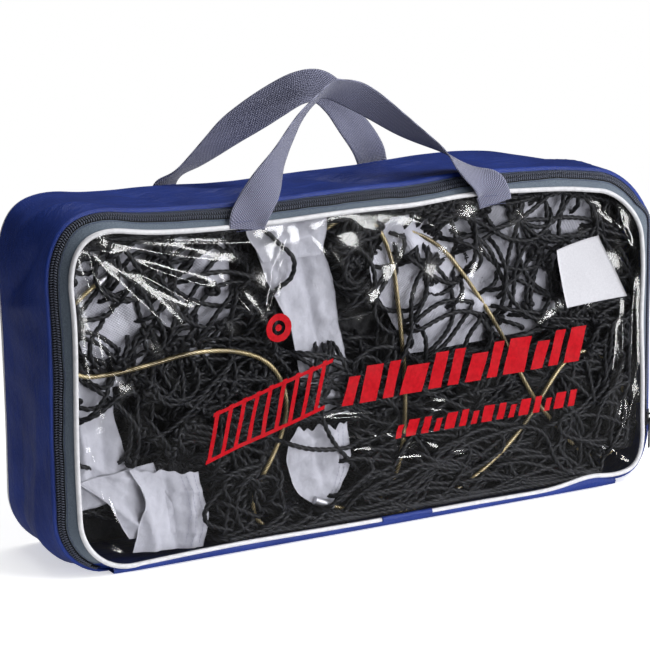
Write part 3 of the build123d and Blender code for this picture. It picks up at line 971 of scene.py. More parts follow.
FILM_CREASES = [
    # out from the upper left corner
    (-206, 229, -128, 213, 7, 1.7), (-208, 221, -132, 194, 4.5, 1.5), (-212, 212, -148, 150, 8, 2.2),
    (-217, 204, -187, 136, 7, 1.8), (-190, 232, -108, 225, 4, 1.3), (-198, 217, -146, 184, 3.5, -1.2),
    (-222, 196, -208, 136, 6, -1.6), (-226, 186, -216, 124, 6, 1.6), (-150, 196, -120, 150, 7, 1.3),
    (-186, 180, -150, 112, 8, 1.5), (-130, 204, -96, 160, 6, 1.4),
    # round the upper right corner and down the right side
    (226, 190, 214, 222, 4, 1.5), (222, 206, 196, 228, 3.5, -1.4), (212, 224, 150, 231, 4, 1.3),
    (228, 160, 222, 60, 5, 1.5), (219, 140, 216, 40, 4, -1.2), (208, 118, 196, 30, 5, 1.3), (228, 70, 206, 16,
        4, 1.6),
    (190, 30, 226, 12, 4, 1.3), (180, 70, 214, 52, 6, 0.9),
    # the lower edge and the lower left corner
    (-222, 60, -200, 10, 4, 1.6), (-230, 34, -196, 8, 3, -1.5), (-150, 10, -40, 16, 5, 1.1), (-20, 12, 90, 9, 5, 1.0),
    (-226, 90, -212, 40, 4, 1.2),
    # across the middle
    (-60, 88, 60, 78, 2.6, 1.3), (-40, 74, 50, 66, 2.2, -1.2), (-30, 60, 40, 54, 2.4, 1.3), (0, 96, 60, 84, 2.0, 1.1),
    (20, 70, 60, 48, 2.4, -1.1), (-20, 84, 14, 60, 2.2, 1.2), (10, 48, 90, 42, 2.6, 1.2), (-20, 150, 20, 200, 5, 1.2),
    (-96, 150, -76, 228, 4, 1.4), (64, 148, 96, 210, 6, 1.1), (-130, 60, -90, 110, 6, -1.2), (110, 120, 170,
        150, 7, 1.1),
    (60, 40, 130, 20, 3.4, 1.3), (96, 70, 150, 40, 4, -1.0), (-70, 236, -40, 200, 4, 1.4), (20, 232, 60, 206, 4, 1.3),
]


def film_y(x, z):
    """The window's depth at x and z: bowed out over the net, creased near its corners."""
    u = np.clip(np.abs(x) / FRONT_HALF, 0, 1)
    t = np.clip((z - FRONT_LOW_Z) / (FRONT_HIGH_Z - FRONT_LOW_Z), 0, 1)
    bow = 3.6 * (1 - u**4) * np.clip(np.sin(math.pi * t), 0, 1) ** 0.5
    hold = np.clip((1 - u) * 14, 0, 1) * np.clip(np.minimum(t, 1 - t) * 16, 0, 1)
    ripple = wave(x, z, (0.35, 0.05, 0.03, 0.2), (0.3, 0.09, -0.06, 1.4), (0.22, -0.13, 0.11, 0.7), (0.14, 0.2,
        0.23, 2.2))
    ripple = ripple * (1 - 0.75 * np.exp(-((x + 170) ** 2 + (z - 185) ** 2) / 3600))
    return FRONT_Y - bow - hold * (ridges(x, z, FILM_CREASES) + ripple)


def on_film(x, z, gap):
    """Points on the front of the window, gap millimetres in front of its middle."""
    return soften(np.stack([x, film_y(x, z) - gap, z], axis=-1))


def window():
    x, z, _, _ = panel_grid(200, 400, FRONT_LOW_Z + 0.6, FRONT_HIGH_Z - 0.6, FRONT_HALF - 0.6, FRONT_CORNERS)
    grid = on_film(x, z, 0.0)
    obj = mesh_object("front_window_film", grid.reshape(-1, 3), grid_faces(200, 400)[:, ::-1], FILM, "flap")
    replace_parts(obj, "front_window")


window()


def ink(name, quads):
    """Printed four-sided patches, laid on the window's outside."""
    points, faces, start = [], [], 0
    for quad in quads:
        (a, b, c, d) = (np.array(q, float) for q in quad)
        wide = max(2, int(max(np.linalg.norm(b - a), np.linalg.norm(c - d)) / 2.2) + 1)
        tall = max(2, int(max(np.linalg.norm(d - a), np.linalg.norm(c - b)) / 2.2) + 1)
        s = np.linspace(0, 1, wide)[None, :, None]
        r = np.linspace(0, 1, tall)[:, None, None]
        flat = (a * (1 - s) + b * s) * (1 - r) + (d * (1 - s) + c * s) * r
        points.append(on_film(flat[..., 0], flat[..., 1], 0.18).reshape(-1, 3))
        faces.append(grid_faces(tall, wide, start=start)[:, ::-1])
        start += tall * wide
    return mesh_object(name, np.concatenate(points), np.concatenate(faces), INK, "flap")


def slanted_row(x0, x1, base, height, widths, gap, lean, rise):
    """A row of slanted blocks on a line that climbs by rise over its length."""
    quads = []
    x = x0
    k = 0
    while x < x1:
        wide = widths[k % len(widths)]
        tall = height * (1.0 if k % 3 else 0.78)
        lift = base + rise * (x - x0) / (x1 - x0)
        quads.append(((x, lift), (x + wide, lift), (x + wide + lean, lift + tall), (x + lean, lift + tall)))
        x += wide + gap
        k += 1
    return quads


def ring_quads(cx, cz, inner, outer, count=20):
    a = np.linspace(0, 2 * math.pi, count + 1)
    return [((cx + inner * math.cos(p), cz + inner * math.sin(p)), (cx + outer * math.cos(p),
                                                                    cz + outer * math.sin(p)),
             (cx + outer * math.cos(q), cz + outer * math.sin(q)), (cx + inner * math.cos(q),
                                                                    cz + inner * math.sin(q)))
            for p, q in zip(a[:-1], a[1:])]


def emblem():
    """A slanted patch of stripes under a ring."""
    quads = []
    for k in range(9):
        x = -142 + k * 10.6
        low = 68 + k * 3.2
        quads.append(((x, low), (x + 3.4, low + 1), (x + 11.4, low + 38), (x + 8, low + 37)))
    for low, high in ((0, 3), (34, 37)):
        quads.append(((-143 + low * 0.2, 67 + low), (-48 + low * 0.2, 95 + low), (-48 + high * 0.2, 95 + high),
                      (-143 + high * 0.2, 67 + high)))
    return quads + ring_quads(-84, 160, 5.5, 10.5) + ring_quads(-84, 160, 0.4, 2.6, 10)


ink("print_emblem", emblem())
ink("print_upper_row", slanted_row(-34, 172, 95, 27, (9, 14, 9, 19, 11), 5.5, 7, 8))
ink("print_lower_row", slanted_row(11, 166, 64, 12.5, (5, 9, 6), 4.2, 3, 4))


def label():
    """A blank paper label taped to the outside, its corners lifting a little."""
    corners = np.array([(150.6, 190.8), (191.4, 201.9), (217.4, 149.3), (160.2, 145.7)])
    s = np.linspace(0, 1, 22)[None, :, None]
    r = np.linspace(0, 1, 26)[:, None, None]
    flat = (corners[0] * (1 - s) + corners[1] * s) * (1 - r) + (corners[3] * (1 - s) + corners[2] * s) * r
    lift = 0.5 + 1.3 * (np.abs(s[..., 0] - 0.45) * 2) ** 3 + 0.9 * (np.abs(r[..., 0] - 0.5) * 2) ** 4
    grid = on_film(flat[..., 0], flat[..., 1], 0.0)
    smooth_y = film_y(flat[..., 0] * 0 + 182, flat[..., 1] * 0 + 171)
    grid[..., 1] = 0.35 * grid[..., 1] + 0.65 * smooth_y - lift
    grid[..., 1] = np.minimum(grid[..., 1], on_film(flat[..., 0], flat[..., 1], 0.35)[..., 1])
    p, f = solid_sheet(grid[::-1], 0.12)
    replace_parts(mesh_object("blank_label", p, f, PAPER, "flap"), "paper_label")


label()


# ---------------------------------------------------------------- handles


def ribbon(name, rows, thick, mat, uv_scale=1.0):
    """Webbing along rows of centre x y z, width direction x y z, and width."""
    line = spline(rows, 190)
    centre, wide, width = line[:, :3], line[:, 3:6], line[:, 6]
    tangent, _, _ = path_frames(centre)
    wide = wide - tangent * np.sum(wide * tangent, axis=1, keepdims=True)
    wide /= np.linalg.norm(wide, axis=1, keepdims=True)
    normal = np.cross(tangent, wide)
    u = np.linspace(-1, 1, 17)
    crown = 0.35 * (1 - u**2) + 0.18 * np.exp(-((np.abs(u) - 0.9) / 0.07) ** 2)
    upper = [(a, c + 0.5) for a, c in zip(u, crown)]
    lower = [(a, -c * 0.3 - 0.5) for a, c in zip(u[::-1], crown[::-1])]
    section = np.array(upper + lower)
    run = lengths_along(centre)
    flutter = 0.25 * np.sin(run * 0.11)[:, None]
    points = (centre[:, None] + wide[:, None] * (section[None, :, 0:1] * width[:, None, None] / 2)
              + normal[:, None] * ((section[None, :, 1:2] * thick + flutter[..., None])))
    sides = len(section)
    f = grid_faces(len(centre), sides, wrap_columns=True)
    f = np.concatenate([f, end_caps(len(centre), sides)])
    across = np.concatenate([u, u[::-1]])[None, :] * width[:, None] / 2
    uv = np.stack([np.repeat(run[:, None], sides, 1), across], axis=-1).reshape(-1, 2) * uv_scale
    return mesh_object(name, points.reshape(-1, 3), f, mat, None, uv=uv)


FRONT_HANDLE = [
    (-107, -50.9, 231.5, 0.99, -0.1, 0.0, 26), (-106, -51.2, 238, 0.97, -0.22, 0.05, 26),
    (-100, -49.5, 247, 0.95, -0.3, 0.08, 25.5), (-91, -46, 257, 0.97, 0.0, 0.0, 25), (-73, -38, 278, 0.75, 0.6,
        -0.2, 25),
    (-50, -26, 301, 0.55, 0.8, -0.25, 25), (-26, -14, 315, 0.2, 0.85, -0.5, 25), (-13, -9, 317.5, 0.1, 0.8, -0.6, 25),
    (8, -9, 310, 0.05, 0.55, -0.8, 25), (36, -16, 290, 0.2, 0.68, -0.66, 25), (64, -30, 270, 0.5, 0.72, -0.3, 25),
    (78, -42, 255, 0.8, 0.35, -0.1, 25), (91, -49.6, 245, 0.95, -0.1, 0.0, 26), (95, -51.2, 238, 0.97, -0.16,
        0.0, 26),
    (97, -50.9, 230.5, 0.99, -0.1, 0.0, 26.5),
]
REAR_HANDLE = [
    (-119, 52.9, 243, 0.99, 0.1, 0.0, 25), (-117, 52.6, 250, 0.9, 0.4, -0.1, 25), (-109, 49, 258, 0.6, 0.76,
        -0.25, 25),
    (-97, 44.5, 267.5, 0.62, 0.63, -0.47, 25), (-84, 39.5, 278.5, 0.65, 0.39, -0.63, 25), (-70, 34, 290, 0.6,
        0.08, -0.77, 25),
    (-45, 24, 307, 0.42, -0.32, -0.84, 25), (-28, 17, 316.5, 0.2, -0.23, -0.95, 24), (-12, 15.5, 317, -0.22,
        0.02, -0.97, 24),
    (4, 19, 306, -0.55, 0.08, -0.83, 24), (20, 28, 289, -0.64, -0.09, -0.76, 24), (38, 39, 272, -0.7, -0.02,
        -0.71, 25),
    (50, 48, 259, -0.84, 0.1, -0.53, 25), (55, 52.6, 250, -0.95, 0.04, -0.3, 25), (56, 52.9, 243, -0.99, 0.01,
        -0.05, 25),
]

front_strap = ribbon("front_handle_webbing", FRONT_HANDLE, 0.9, WEBBING)
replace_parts(front_strap, "front_handle", "front_handle_ends")
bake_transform(front_strap)
rear_strap = ribbon("rear_handle_webbing", REAR_HANDLE, 0.9, WEBBING)
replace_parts(rear_strap, "rear_handle", "rear_handle_ends")
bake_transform(rear_strap)


def box_stitch(name, x, y, z, body):
    """Two sewn rows of short stitches where a handle is fixed."""
    w, h = 9.5, 3.2
    lines = [[(x - w, y, z - h), (x + w, y, z - h)], [(x - w, y, z + h), (x + w, y, z + h)]]
    bars = []
    for a, b in lines:
        a, b = np.array(a, float), np.array(b, float)
        count = int(np.linalg.norm(b - a) / 2.6)
        for k in range(count):
            t = np.array([0.0, 0.3, 0.7, 0.78]) / count + k / count
            bars.append(a + (b - a) * t[:, None])
    p, f, uv = joined_tubes(bars, 0.24, 6)
    mesh_object(name, p, f, THREAD, body, uv=uv)


box_stitch("front_stitch_left", -106.5, -52.35, 234.0, "flap")
box_stitch("front_stitch_right", 96.5, -52.35, 233.5, "flap")
box_stitch("rear_stitch_left", -118.5, 54.35, 246.0, "bag")
box_stitch("rear_stitch_right", 56.0, 54.35, 246.0, "bag")


# ---------------------------------------------------------------- contents: core and white tapes

# Bare places in the lower corners, where the bag's inside shows.
BARE_PLACES = [(-216, 14, 22, 14), (224, 12, 20, 12)]


EXP_LIMIT = 700.0  # just under where a float overflows


def inside(flat, x, z, half_x, half_z):
    """One inside a rounded rectangle, and nothing outside it."""
    r = np.abs((flat[..., 0] - x) / half_x) ** 5 + np.abs((flat[..., 1] - z) / half_z) ** 5
    return 1 / (1 + np.exp(np.minimum((r - 1.0) * 4, EXP_LIMIT)))


def net_core():
    """The mass of net behind the strands that can be seen, as one lumpy dark form."""
    outline = rounded_outline(HALF_LENGTH - 13, 6.0, HEIGHT - 13, (34.0, 42.0), (8, 28, 10, 66, 10, 28, 8))[:158]
    centre = np.array([0.0, HEIGHT / 2 - 4])
    rings = [(s, -20.0) for s in np.linspace(0.02, 0.97, 34)]
    rings += [(1.0, y) for y in np.linspace(-16, 34, 14)]
    rings += [(s, 38.0) for s in np.linspace(0.97, 0.02, 14)]
    points = []
    for share, y in rings:
        flat = centre + (outline - centre) * share
        points.append(np.stack([flat[:, 0], np.full(len(flat), y), flat[:, 1]], axis=1))
    points = np.array(points)
    lumps = noise_field(points[..., 0], points[..., 1], points[..., 2], 13.0, 3)
    swell = noise_field(points[..., 0], points[..., 1] + 90, points[..., 2], 45.0, 2)
    points[..., 1] += 2.6 * lumps + 2.0 * swell
    points[..., 2] = np.maximum(points[..., 2] + 1.5 * lumps, 3.0)
    for x, z, half_x, half_z in BARE_PLACES:
        near = inside(points[..., ::2], x, z, half_x + 6, half_z + 6)
        points[..., 1] += 24 * near * (points[..., 1] < 10)
    points[..., 1] = np.clip(points[..., 1], -25.5, 44.5)
    sides = outline.shape[0]
    f = np.concatenate([grid_faces(len(rings), sides, wrap_columns=True), end_caps(len(rings), sides)])
    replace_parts(mesh_object("net_core", points.reshape(-1, 3), f, CORE, "bag"), "net_bundle")


net_core()


TAPE_THICK = 0.5
TAPE_FRONT_Y = -44.0
TAPE_BACK_Y = -24.0


def tape_piece(name, node, left, right, depth, folds, rows=70, columns=40, ragged=0.0, mat=None, hems=()):
    """A folded length of white tape between two given edges, in x and z; folds stand towards the window."""
    a = spline(left, rows)
    b = spline(right, rows)
    s = np.linspace(0, 1, columns)
    flat = a[:, None] * (1 - s[None, :, None]) + b[:, None] * s[None, :, None]
    x, z = flat[..., 0], flat[..., 1]
    if ragged:
        fray = ragged * np.sin(s * 23) * np.sin(s * 9 + 1)
        z = z + fray[None, :] * np.clip(1 - np.arange(rows) / 5, 0, 1)[:, None]
    crumple = noise_field(x, 0 * x + depth, z, 22.0, 3)
    fine = noise_field(x, 0 * x + depth, z, 8.0, 2)
    y = depth - 1.7 * ridges(x, z, folds) - (2.2 * crumple + 0.55 * fine)
    y = np.clip(y, TAPE_FRONT_Y, TAPE_BACK_Y)
    grid = np.stack([x, y, z], axis=-1)
    p, f = solid_sheet(grid, TAPE_THICK)
    run = lengths_along(a)
    across = s[None, :] * np.linalg.norm(b - a, axis=1)[:, None]
    uv = np.stack([np.repeat(run[:, None], columns, 1), across], axis=-1).reshape(-1, 2)
    obj = mesh_object(name, p, f, mat or TAPE_CLOTH, "bag", uv=np.concatenate([uv, uv]))
    if node:
        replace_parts(obj, node)
    for k, share in enumerate(hems):
        line = grid[2:-2, int(share * (columns - 1))] - np.array([0, 0.35, 0])
        stitches(f"{name}_hem_{k + 1}", line, 3.0, 2.2, 0.22, PALE_THREAD, "bag")
    return obj


tape_piece("headband_upper_left", "headband_left", [(-232, 226), (-233, 190), (-222, 150), (-205, 128)],
           [(-118, 236), (-112, 205), (-112, 172), (-130, 140)], -31.5,
           [(-210, 230, -170, 140, 7, 3.2), (-180, 232, -152, 170, 5, -2.6), (-228, 180, -190, 200, 6, 2.5),
            (-140, 230, -120, 160, 6, 2.4)],
           mat=MESH_CLOTH)
tape_piece("headband_top_fold", None, [(-102, 232), (-98, 220), (-88, 204)], [(-38, 236), (-38, 221), (-42,
    205)], -38.5,
           [(-100, 214, -44, 222, 5, 2.6), (-92, 226, -48, 232, 4, -2.0), (-70, 236, -66, 206, 4, 1.4)], rows=36)
tape_piece("headband_centre", "headband_middle", [(-92, 212), (-82, 184), (-73, 165), (-65, 149), (-60, 118),
                                                  (-60, 88)],
           [(-40, 210), (-32, 180), (-28, 156), (-22, 133), (-19, 110), (-18, 86)], -35.5,
           [(-84, 208, -66, 140, 6, 2.4), (-56, 206, -40, 130, 5, -2.4), (-36, 208, -26, 150, 4, 2.2),
            (-64, 120, -24, 96, 6, 2.4)], rows=90)
tape_piece("headband_end_low", "headband_low", [(-64, 79), (-71, 66), (-70, 50), (-64, 34), (-52, 24)],
           [(-22, 79), (-20, 64), (-20, 50), (-26, 36), (-34, 23)], -38.0,
           [(-66, 66, -30, 74, 5, 2.4), (-62, 48, -34, 36, 5, 2.2), (-50, 76, -44, 40, 4, -2.2), (-34, 70, -30,
               40, 3, 1.8)],
           ragged=3.0, hems=(0.82, 0.9))
tape_piece("headband_upper_right", "headband_right", [(-2, 236), (14, 212), (2, 186), (20, 150), (34, 122)],
           [(188, 236), (196, 210), (190, 170), (176, 128)], -31.5,
           [(20, 230, 60, 150, 9, 3.6), (60, 236, 110, 150, 8, -3.2), (110, 236, 140, 160, 9, 3.4),
            (150, 232, 176, 150, 7, -3.0), (20, 180, 120, 150, 7, 2.6), (30, 140, 170, 168, 7, 2.6)],
           rows=90, columns=90, mat=MESH_CLOTH)
tape_piece("side_tape_cloth", "side_tape", [(-238, 140), (-239, 110), (-238, 80), (-236, 44)],
           [(-204, 138), (-203, 110), (-196, 80), (-186, 50)], -33.5,
           [(-232, 132, -226, 60, 4, 2.2), (-214, 134, -210, 70, 4, -2.0), (-226, 80, -198, 60, 4, 2.0)])
tape_piece("folded_end_lower", "hemmed_tape_end", [(-234, 66), (-214, 50), (-206, 38), (-196, 20)],
           [(-176, 72), (-168, 52), (-158, 34), (-150, 18)], -36.5,
           [(-226, 62, -186, 26, 4, 3.0), (-196, 70, -168, 34, 5, -2.4), (-212, 68, -180, 60, 4, 2.0)])
tape_piece("folded_end_hem", None, [(-196, 70), (-186, 50), (-190, 30), (-194, 10)],
           [(-142, 60), (-139, 44), (-136, 26), (-140, 6)], -39.0,
           [(-190, 62, -176, 8, 5, 3.0), (-168, 64, -160, 10, 4, -2.6), (-150, 58, -148, 8, 3, 2.4),
            (-156, 50, -138, 46, 2.5, 1.6), (-156, 34, -137, 30, 2.5, 1.6), (-156, 20, -139, 17, 2.5,
                1.4)], ragged=1.5,
           hems=(0.72, 0.8, 0.93))


# ---------------------------------------------------------------- contents: strands

ROPE_R = 2.0
ROPE_SIDES = 9
RNG = np.random.default_rng(20)


def press_inside(flat, inset):
    """Push x and z points back inside the bag's rounded outline, so strands lie along its edges."""
    half = np.array([HALF_LENGTH - inset, (HEIGHT - 4) / 2 - inset])
    centre = np.array([0.0, (HEIGHT - 8) / 2])
    radius = 32.0
    p = flat - centre
    q = np.abs(p) - (half - radius)
    outside = np.maximum(q, 0)
    reach = np.linalg.norm(outside, axis=-1, keepdims=True)
    distance = reach + np.minimum(np.max(q, axis=-1, keepdims=True), 0) - radius
    along = np.where(reach > 1e-6, outside / np.maximum(reach, 1e-6), np.where(q >= np.max(q, axis=-1,
        keepdims=True), 1.0, 0.0))
    soft = 7.0
    over = np.maximum(distance + soft, 0)
    pushed = soft * (1 - np.exp(-over / soft)) - over
    return flat + np.sign(p) * along * np.where(over > 0, pushed, 0)


def edge_room(flat):
    """How far x and z points lie inside the bag's outline, leaving out the bottom edge."""
    p = np.abs(flat - np.array([0.0, HEIGHT / 2 - 60])) - (np.array([HALF_LENGTH, HEIGHT / 2 + 60]) - 52.0)
    return 52.0 - np.linalg.norm(np.maximum(p, 0), axis=-1) - np.minimum(np.max(p, axis=-1), 0)


# Where the white tapes lie: centre x and z, half sizes, the depth of their front, and the share of front strands
# that pass behind them.
TAPE_PLACES = [
    (-172, 182, 62, 56, -35.5, 0.25), (-70, 220, 36, 20, -42.5, 0.92), (-63, 190, 30, 20, -39.5, 0.9),
    (-50, 158, 27, 22, -39.5, 0.88), (-40, 112, 26, 28, -39.5, 0.15), (-46, 52, 30, 32, -42.0, 0.92),
    (98, 180, 102, 62, -36.0, 0.4), (-214, 92, 28, 52, -37.5, 0.65), (-188, 37, 54, 38, -42.5, 0.95),
]
def round_tapes(flat, y, draw, deep):
    """Depths again: each strand passes either behind a white tape or clear in front of it."""
    for x, z, half_x, half_z, front, share in TAPE_PLACES:
        near = inside(flat, x, z, half_x, half_z)
        behind = deep | (draw < share)
        goal = np.where(behind, -25.0, np.minimum(y, front - 2.4))
        y = y * (1 - near) + goal * near
    for x, z, half_x, half_z in BARE_PLACES:
        near = inside(flat, x, z, half_x, half_z)
        y = y * (1 - near) - 16.0 * near
    return y


def wandering(count, length, area, aim, spread, curl, step=3.0):
    """Paths in x and z of limp strands: each starts in the area, heads about aim, and curls as it goes."""
    x0, x1, z0, z1 = area
    place = np.stack([RNG.uniform(x0, x1, count), RNG.uniform(z0, z1, count)], axis=1)
    heading = aim + RNG.normal(0, spread, count) + math.pi * RNG.integers(0, 2, count)
    home = heading.copy()
    bend = RNG.normal(0, curl, count)
    steps = int(length / step)
    paths = np.zeros((count, steps, 2))
    for k in range(steps):
        paths[:, k] = place
        bend = bend * 0.93 + RNG.normal(0, curl * 0.42, count)
        heading = heading + bend * step + (home - heading) * 0.012
        place = place + step * np.stack([np.cos(heading), np.sin(heading)], axis=1)
        low = np.array([x0 - 25, z0 - 12])
        high = np.array([x1 + 25, z1 + 12])
        out_x = (place[:, 0] < low[0]) | (place[:, 0] > high[0])
        out_z = (place[:, 1] < low[1]) | (place[:, 1] > high[1])
        turn = np.where(out_x | out_z, 1.0, 0.0)
        inward = np.arctan2((z0 + z1) / 2 - place[:, 1], (x0 + x1) / 2 - place[:, 0])
        swing = (inward - heading + math.pi) % (2 * math.pi) - math.pi
        heading = heading + turn * swing * 0.16
        home = home + turn * ((inward - home + math.pi) % (2 * math.pi) - math.pi) * 0.16
    return press_inside(paths, 12.0)


CABLE_TREE = KDTree(len(LEFT_PATH) + len(RIGHT_PATH))
for number, point in enumerate(np.concatenate([LEFT_PATH, RIGHT_PATH])):
    CABLE_TREE.insert((point[0], 0.0, point[2]), number)
CABLE_TREE.balance()
CABLE_DEPTHS = np.concatenate([LEFT_PATH, RIGHT_PATH])[:, 1]


def clear_of_cables(flat, y, draw):
    """Depths again, with most strands passing behind a cable where they cross it."""
    for i in range(flat.shape[0]):
        for k in range(flat.shape[1]):
            _, number, gap = CABLE_TREE.find((flat[i, k, 0], 0.0, flat[i, k, 1]))
            x, z = flat[i, k]
            hidden = x > 188 or z < 26 or (x < -196 and z > 142) or (x < 10 and z > 196)
            if gap < 9.0 and not hidden and draw[i, 0] < (0.92 if z > 62 else 0.55):
                near = max(0.0, min(1.0, (9.0 - gap) / 4.0))
                y[i, k] = max(y[i, k], y[i, k] * (1 - near) + (CABLE_DEPTHS[number] + 3.6) * near)
    return y


def strands(count, length, area, aim, spread, curl, depth, wobble=1.3):
    """Strands as 3-D paths: the layer's depth, small rises and falls, and dips behind the white tapes."""
    flat = wandering(count, length, area, aim, spread, curl)
    steps = flat.shape[1]
    t = np.linspace(0, 1, steps)[None, :] * length
    phase = RNG.uniform(0, 6.28, (3, count, 1))
    rise = np.sin(t / 17 + phase[0]) + 0.8 * np.sin(t / 31 + phase[1]) + 0.5 * np.sin(t / 9 + phase[2])
    y = depth + wobble * rise * 0.7 + RNG.normal(0, 0.6, (count, 1))
    draw = np.repeat(RNG.uniform(0, 1, (count, 1)), steps, 1)
    y = round_tapes(flat, y, draw, depth > -33.5)
    y = clear_of_cables(flat, y, draw)
    near_end = np.clip(1 - np.minimum(t, length - t) / 13, 0, 1) ** 1.5
    y = y * (1 - near_end) - 22.0 * near_end
    slack = np.exp(-((flat[..., 0] - 218) ** 2 + (flat[..., 1] - 222) ** 2) / 1800)
    room = edge_room(flat) - 8 * slack
    y = np.maximum(y, BAND_EDGE_Y + 5 - 0.45 * np.minimum(room, 20) - 1.2 * np.maximum(room - 20, 0))
    y = np.maximum(y, film_y(flat[..., 0], flat[..., 1]) + 3.0)
    return [np.stack([flat[i, :, 0], y[i], flat[i, :, 1]], axis=1) for i in range(count)]


def smooth_path(path):
    for _ in range(2):
        path = np.concatenate([path[:1], (path[:-2] + 2 * path[1:-1] + path[2:]) / 4, path[-1:]])
    return path


def rope_piece(name, paths):
    paths = [even_path(smooth_path(p), 1.5) for p in paths]
    p, f, uv = joined_tubes(paths, ROPE_R, ROPE_SIDES, lobes=3, depth=0.55, pitch=17.0,
                            phases=RNG.uniform(0, 6.28, len(paths)))
    return mesh_object(name, p, f, TWINE, "bag", uv=uv)


def knots(name, places, size=1.55):
    """Net knots: one strand wound round itself."""
    t = np.linspace(0, 2 * math.pi, 44)
    paths = []
    for place in places:
        turn = RNG.uniform(0, 6.28)
        loop = np.stack([np.sin(t) + 2 * np.sin(2 * t), 0.9 * np.sin(3 * t), np.cos(t) - 2 * np.cos(2 * t)],
                        axis=1) * size
        c, s = math.cos(turn), math.sin(turn)
        x = loop[:, 0] * c - loop[:, 2] * s
        z = (loop[:, 0] * s + loop[:, 2] * c) * RNG.uniform(0.7, 1.0)
        paths.append(np.stack([x + place[0], loop[:, 1] * 1.4 + place[1], z + place[2]], axis=1))
    p, f, uv = joined_tubes(paths, ROPE_R * 0.98, ROPE_SIDES, lobes=3, depth=0.3, pitch=11.0)
    return mesh_object(name, p, f, TWINE, "bag", uv=uv)


LOWER = (-128, 226, 10, 104)
LEFT_MIDDLE = (-228, -66, 66, 146)
UPPER_LEFT = (-230, -96, 132, 230)
TOP_ROW = (-100, 226, 188, 234)
UPPER_RIGHT = (-10, 226, 118, 224)
RIGHT_SIDE = (196, 236, 24, 214)

FLAT, UP = 0.0, math.pi / 2
made = []
made.append(strands(56, 330, LOWER, FLAT, 0.3, 0.012, -26.5))
made.append(strands(54, 330, LOWER, FLAT, 0.28, 0.013, -31.0))
made.append(strands(50, 330, LOWER, FLAT, 0.3, 0.015, -36.0))
made.append(strands(30, 280, LOWER, FLAT, 0.35, 0.017, -41.0))
made.append(strands(26, 230, LEFT_MIDDLE, 0.3, 0.7, 0.02, -30.0) + strands(12, 200, UPPER_LEFT, 0.8, 0.7, 0.02,
    -29.0))
made.append(strands(24, 220, LEFT_MIDDLE, 0.2, 0.7, 0.022, -36.5) + strands(16, 210, UPPER_LEFT, 0.8, 0.5, 0.02,
    -38.0))
made.append(strands(16, 200, LEFT_MIDDLE, 0.3, 0.8, 0.026, -42.0) + strands(15, 190, UPPER_LEFT, 0.9, 0.5,
    0.022, -42.5))
made.append(strands(34, 230, TOP_ROW, FLAT, 0.5, 0.022, -29.0) + strands(14, 200, RIGHT_SIDE, UP, 0.3, 0.014, -31.0))
made.append(strands(28, 210, TOP_ROW, FLAT, 0.6, 0.026, -37.0) + strands(14, 190, RIGHT_SIDE, UP, 0.3, 0.016, -39.0))
made.append(strands(20, 240, UPPER_RIGHT, 0.4, 0.9, 0.022, -36.0) + strands(18, 220, UPPER_RIGHT, 1.2, 0.9,
    0.026, -41.0))
COVERS = [
    # count, length, place, heading, spread, curl, depth: strands over what the net hides
    (22, 170, (190, 232, 16, 112), UP, 0.5, 0.02, -44.0), (26, 260, (-120, 200, 8, 30), FLAT, 0.2, 0.012, -45.0),
    (12, 150, (-40, 60, 206, 232), FLAT, 0.4, 0.02, -43.5), (10, 120, (-236, -196, 150, 210), UP, 0.6, 0.03, -41.5),
    (7, 90, (-64, -24, 14, 30), FLAT, 0.3, 0.02, -45.5), (16, 90, (-114, -84, 8, 36), FLAT, 0.7, 0.03, -45.0),
]
made.append([path for cover in COVERS for path in strands(*cover)])
strand_pieces = []
for group in made:
    strand_pieces += [group[::2], group[1::2]] if sum(len(path) for path in group) > 4000 else [group]
for index, group in enumerate(strand_pieces):
    rope_piece(f"net_strands_{index + 1}", group)

front_paths = made[3] + made[5] + made[6] + made[8] + made[9]
tie_places = [path[int(RNG.integers(8, len(path) - 8))] for path in front_paths]
knots("net_knots_1", tie_places[: len(tie_places) // 2])
knots("net_knots_2", tie_places[len(tie_places) // 2:])


# ---------------------------------------------------------------- carried-over CAD nodes


def finish_node(name, mat):
    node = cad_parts[name]
    obj = node if isinstance(node, bpy.types.Object) else bpy.data.objects[name]
    for slot in range(len(obj.material_slots)):
        obj.material_slots[slot].material = mat
    if not obj.material_slots:
        obj.data.materials.append(mat)


finish_node("zip_slider", METAL)
finish_node("zip_puller", METAL)
finish_node("zip_end_stops", METAL)
finish_node("cable_ferrules", FERRULE)


# ---------------------------------------------------------------- stage


def floor_material():
    """White where the bag's shadow falls, and open to the white round it further out."""
    mat = material("white floor", (0.9, 0.9, 0.9), 0.9, Emission_Strength=0.55)
    n = Nodes(mat)
    n.shader.inputs["Emission Color"].default_value = (1, 1, 1, 1)
    place = n.coordinates(scale=(1 / 0.95, 1 / 0.52, 1))
    far = n.add("ShaderNodeVectorMath", Vector=place)
    far.operation = "LENGTH"
    open_share = n.level(far.outputs["Value"], 0.42, 1.0, 0.0, 1.0)
    ray = n.add("ShaderNodeLightPath")
    open_share = n.math("MAXIMUM", open_share, n.math("MULTIPLY", ray.outputs["Is Glossy Ray"], 0.85))
    clear = n.add("ShaderNodeBsdfTransparent")
    mix = n.add("ShaderNodeMixShader", Fac=open_share)
    n.put(mix.inputs[1], n.shader.outputs[0])
    n.put(mix.inputs[2], clear.outputs[0])
    n.put(mat.node_tree.nodes["Material Output"].inputs["Surface"], mix.outputs[0])
    return mat


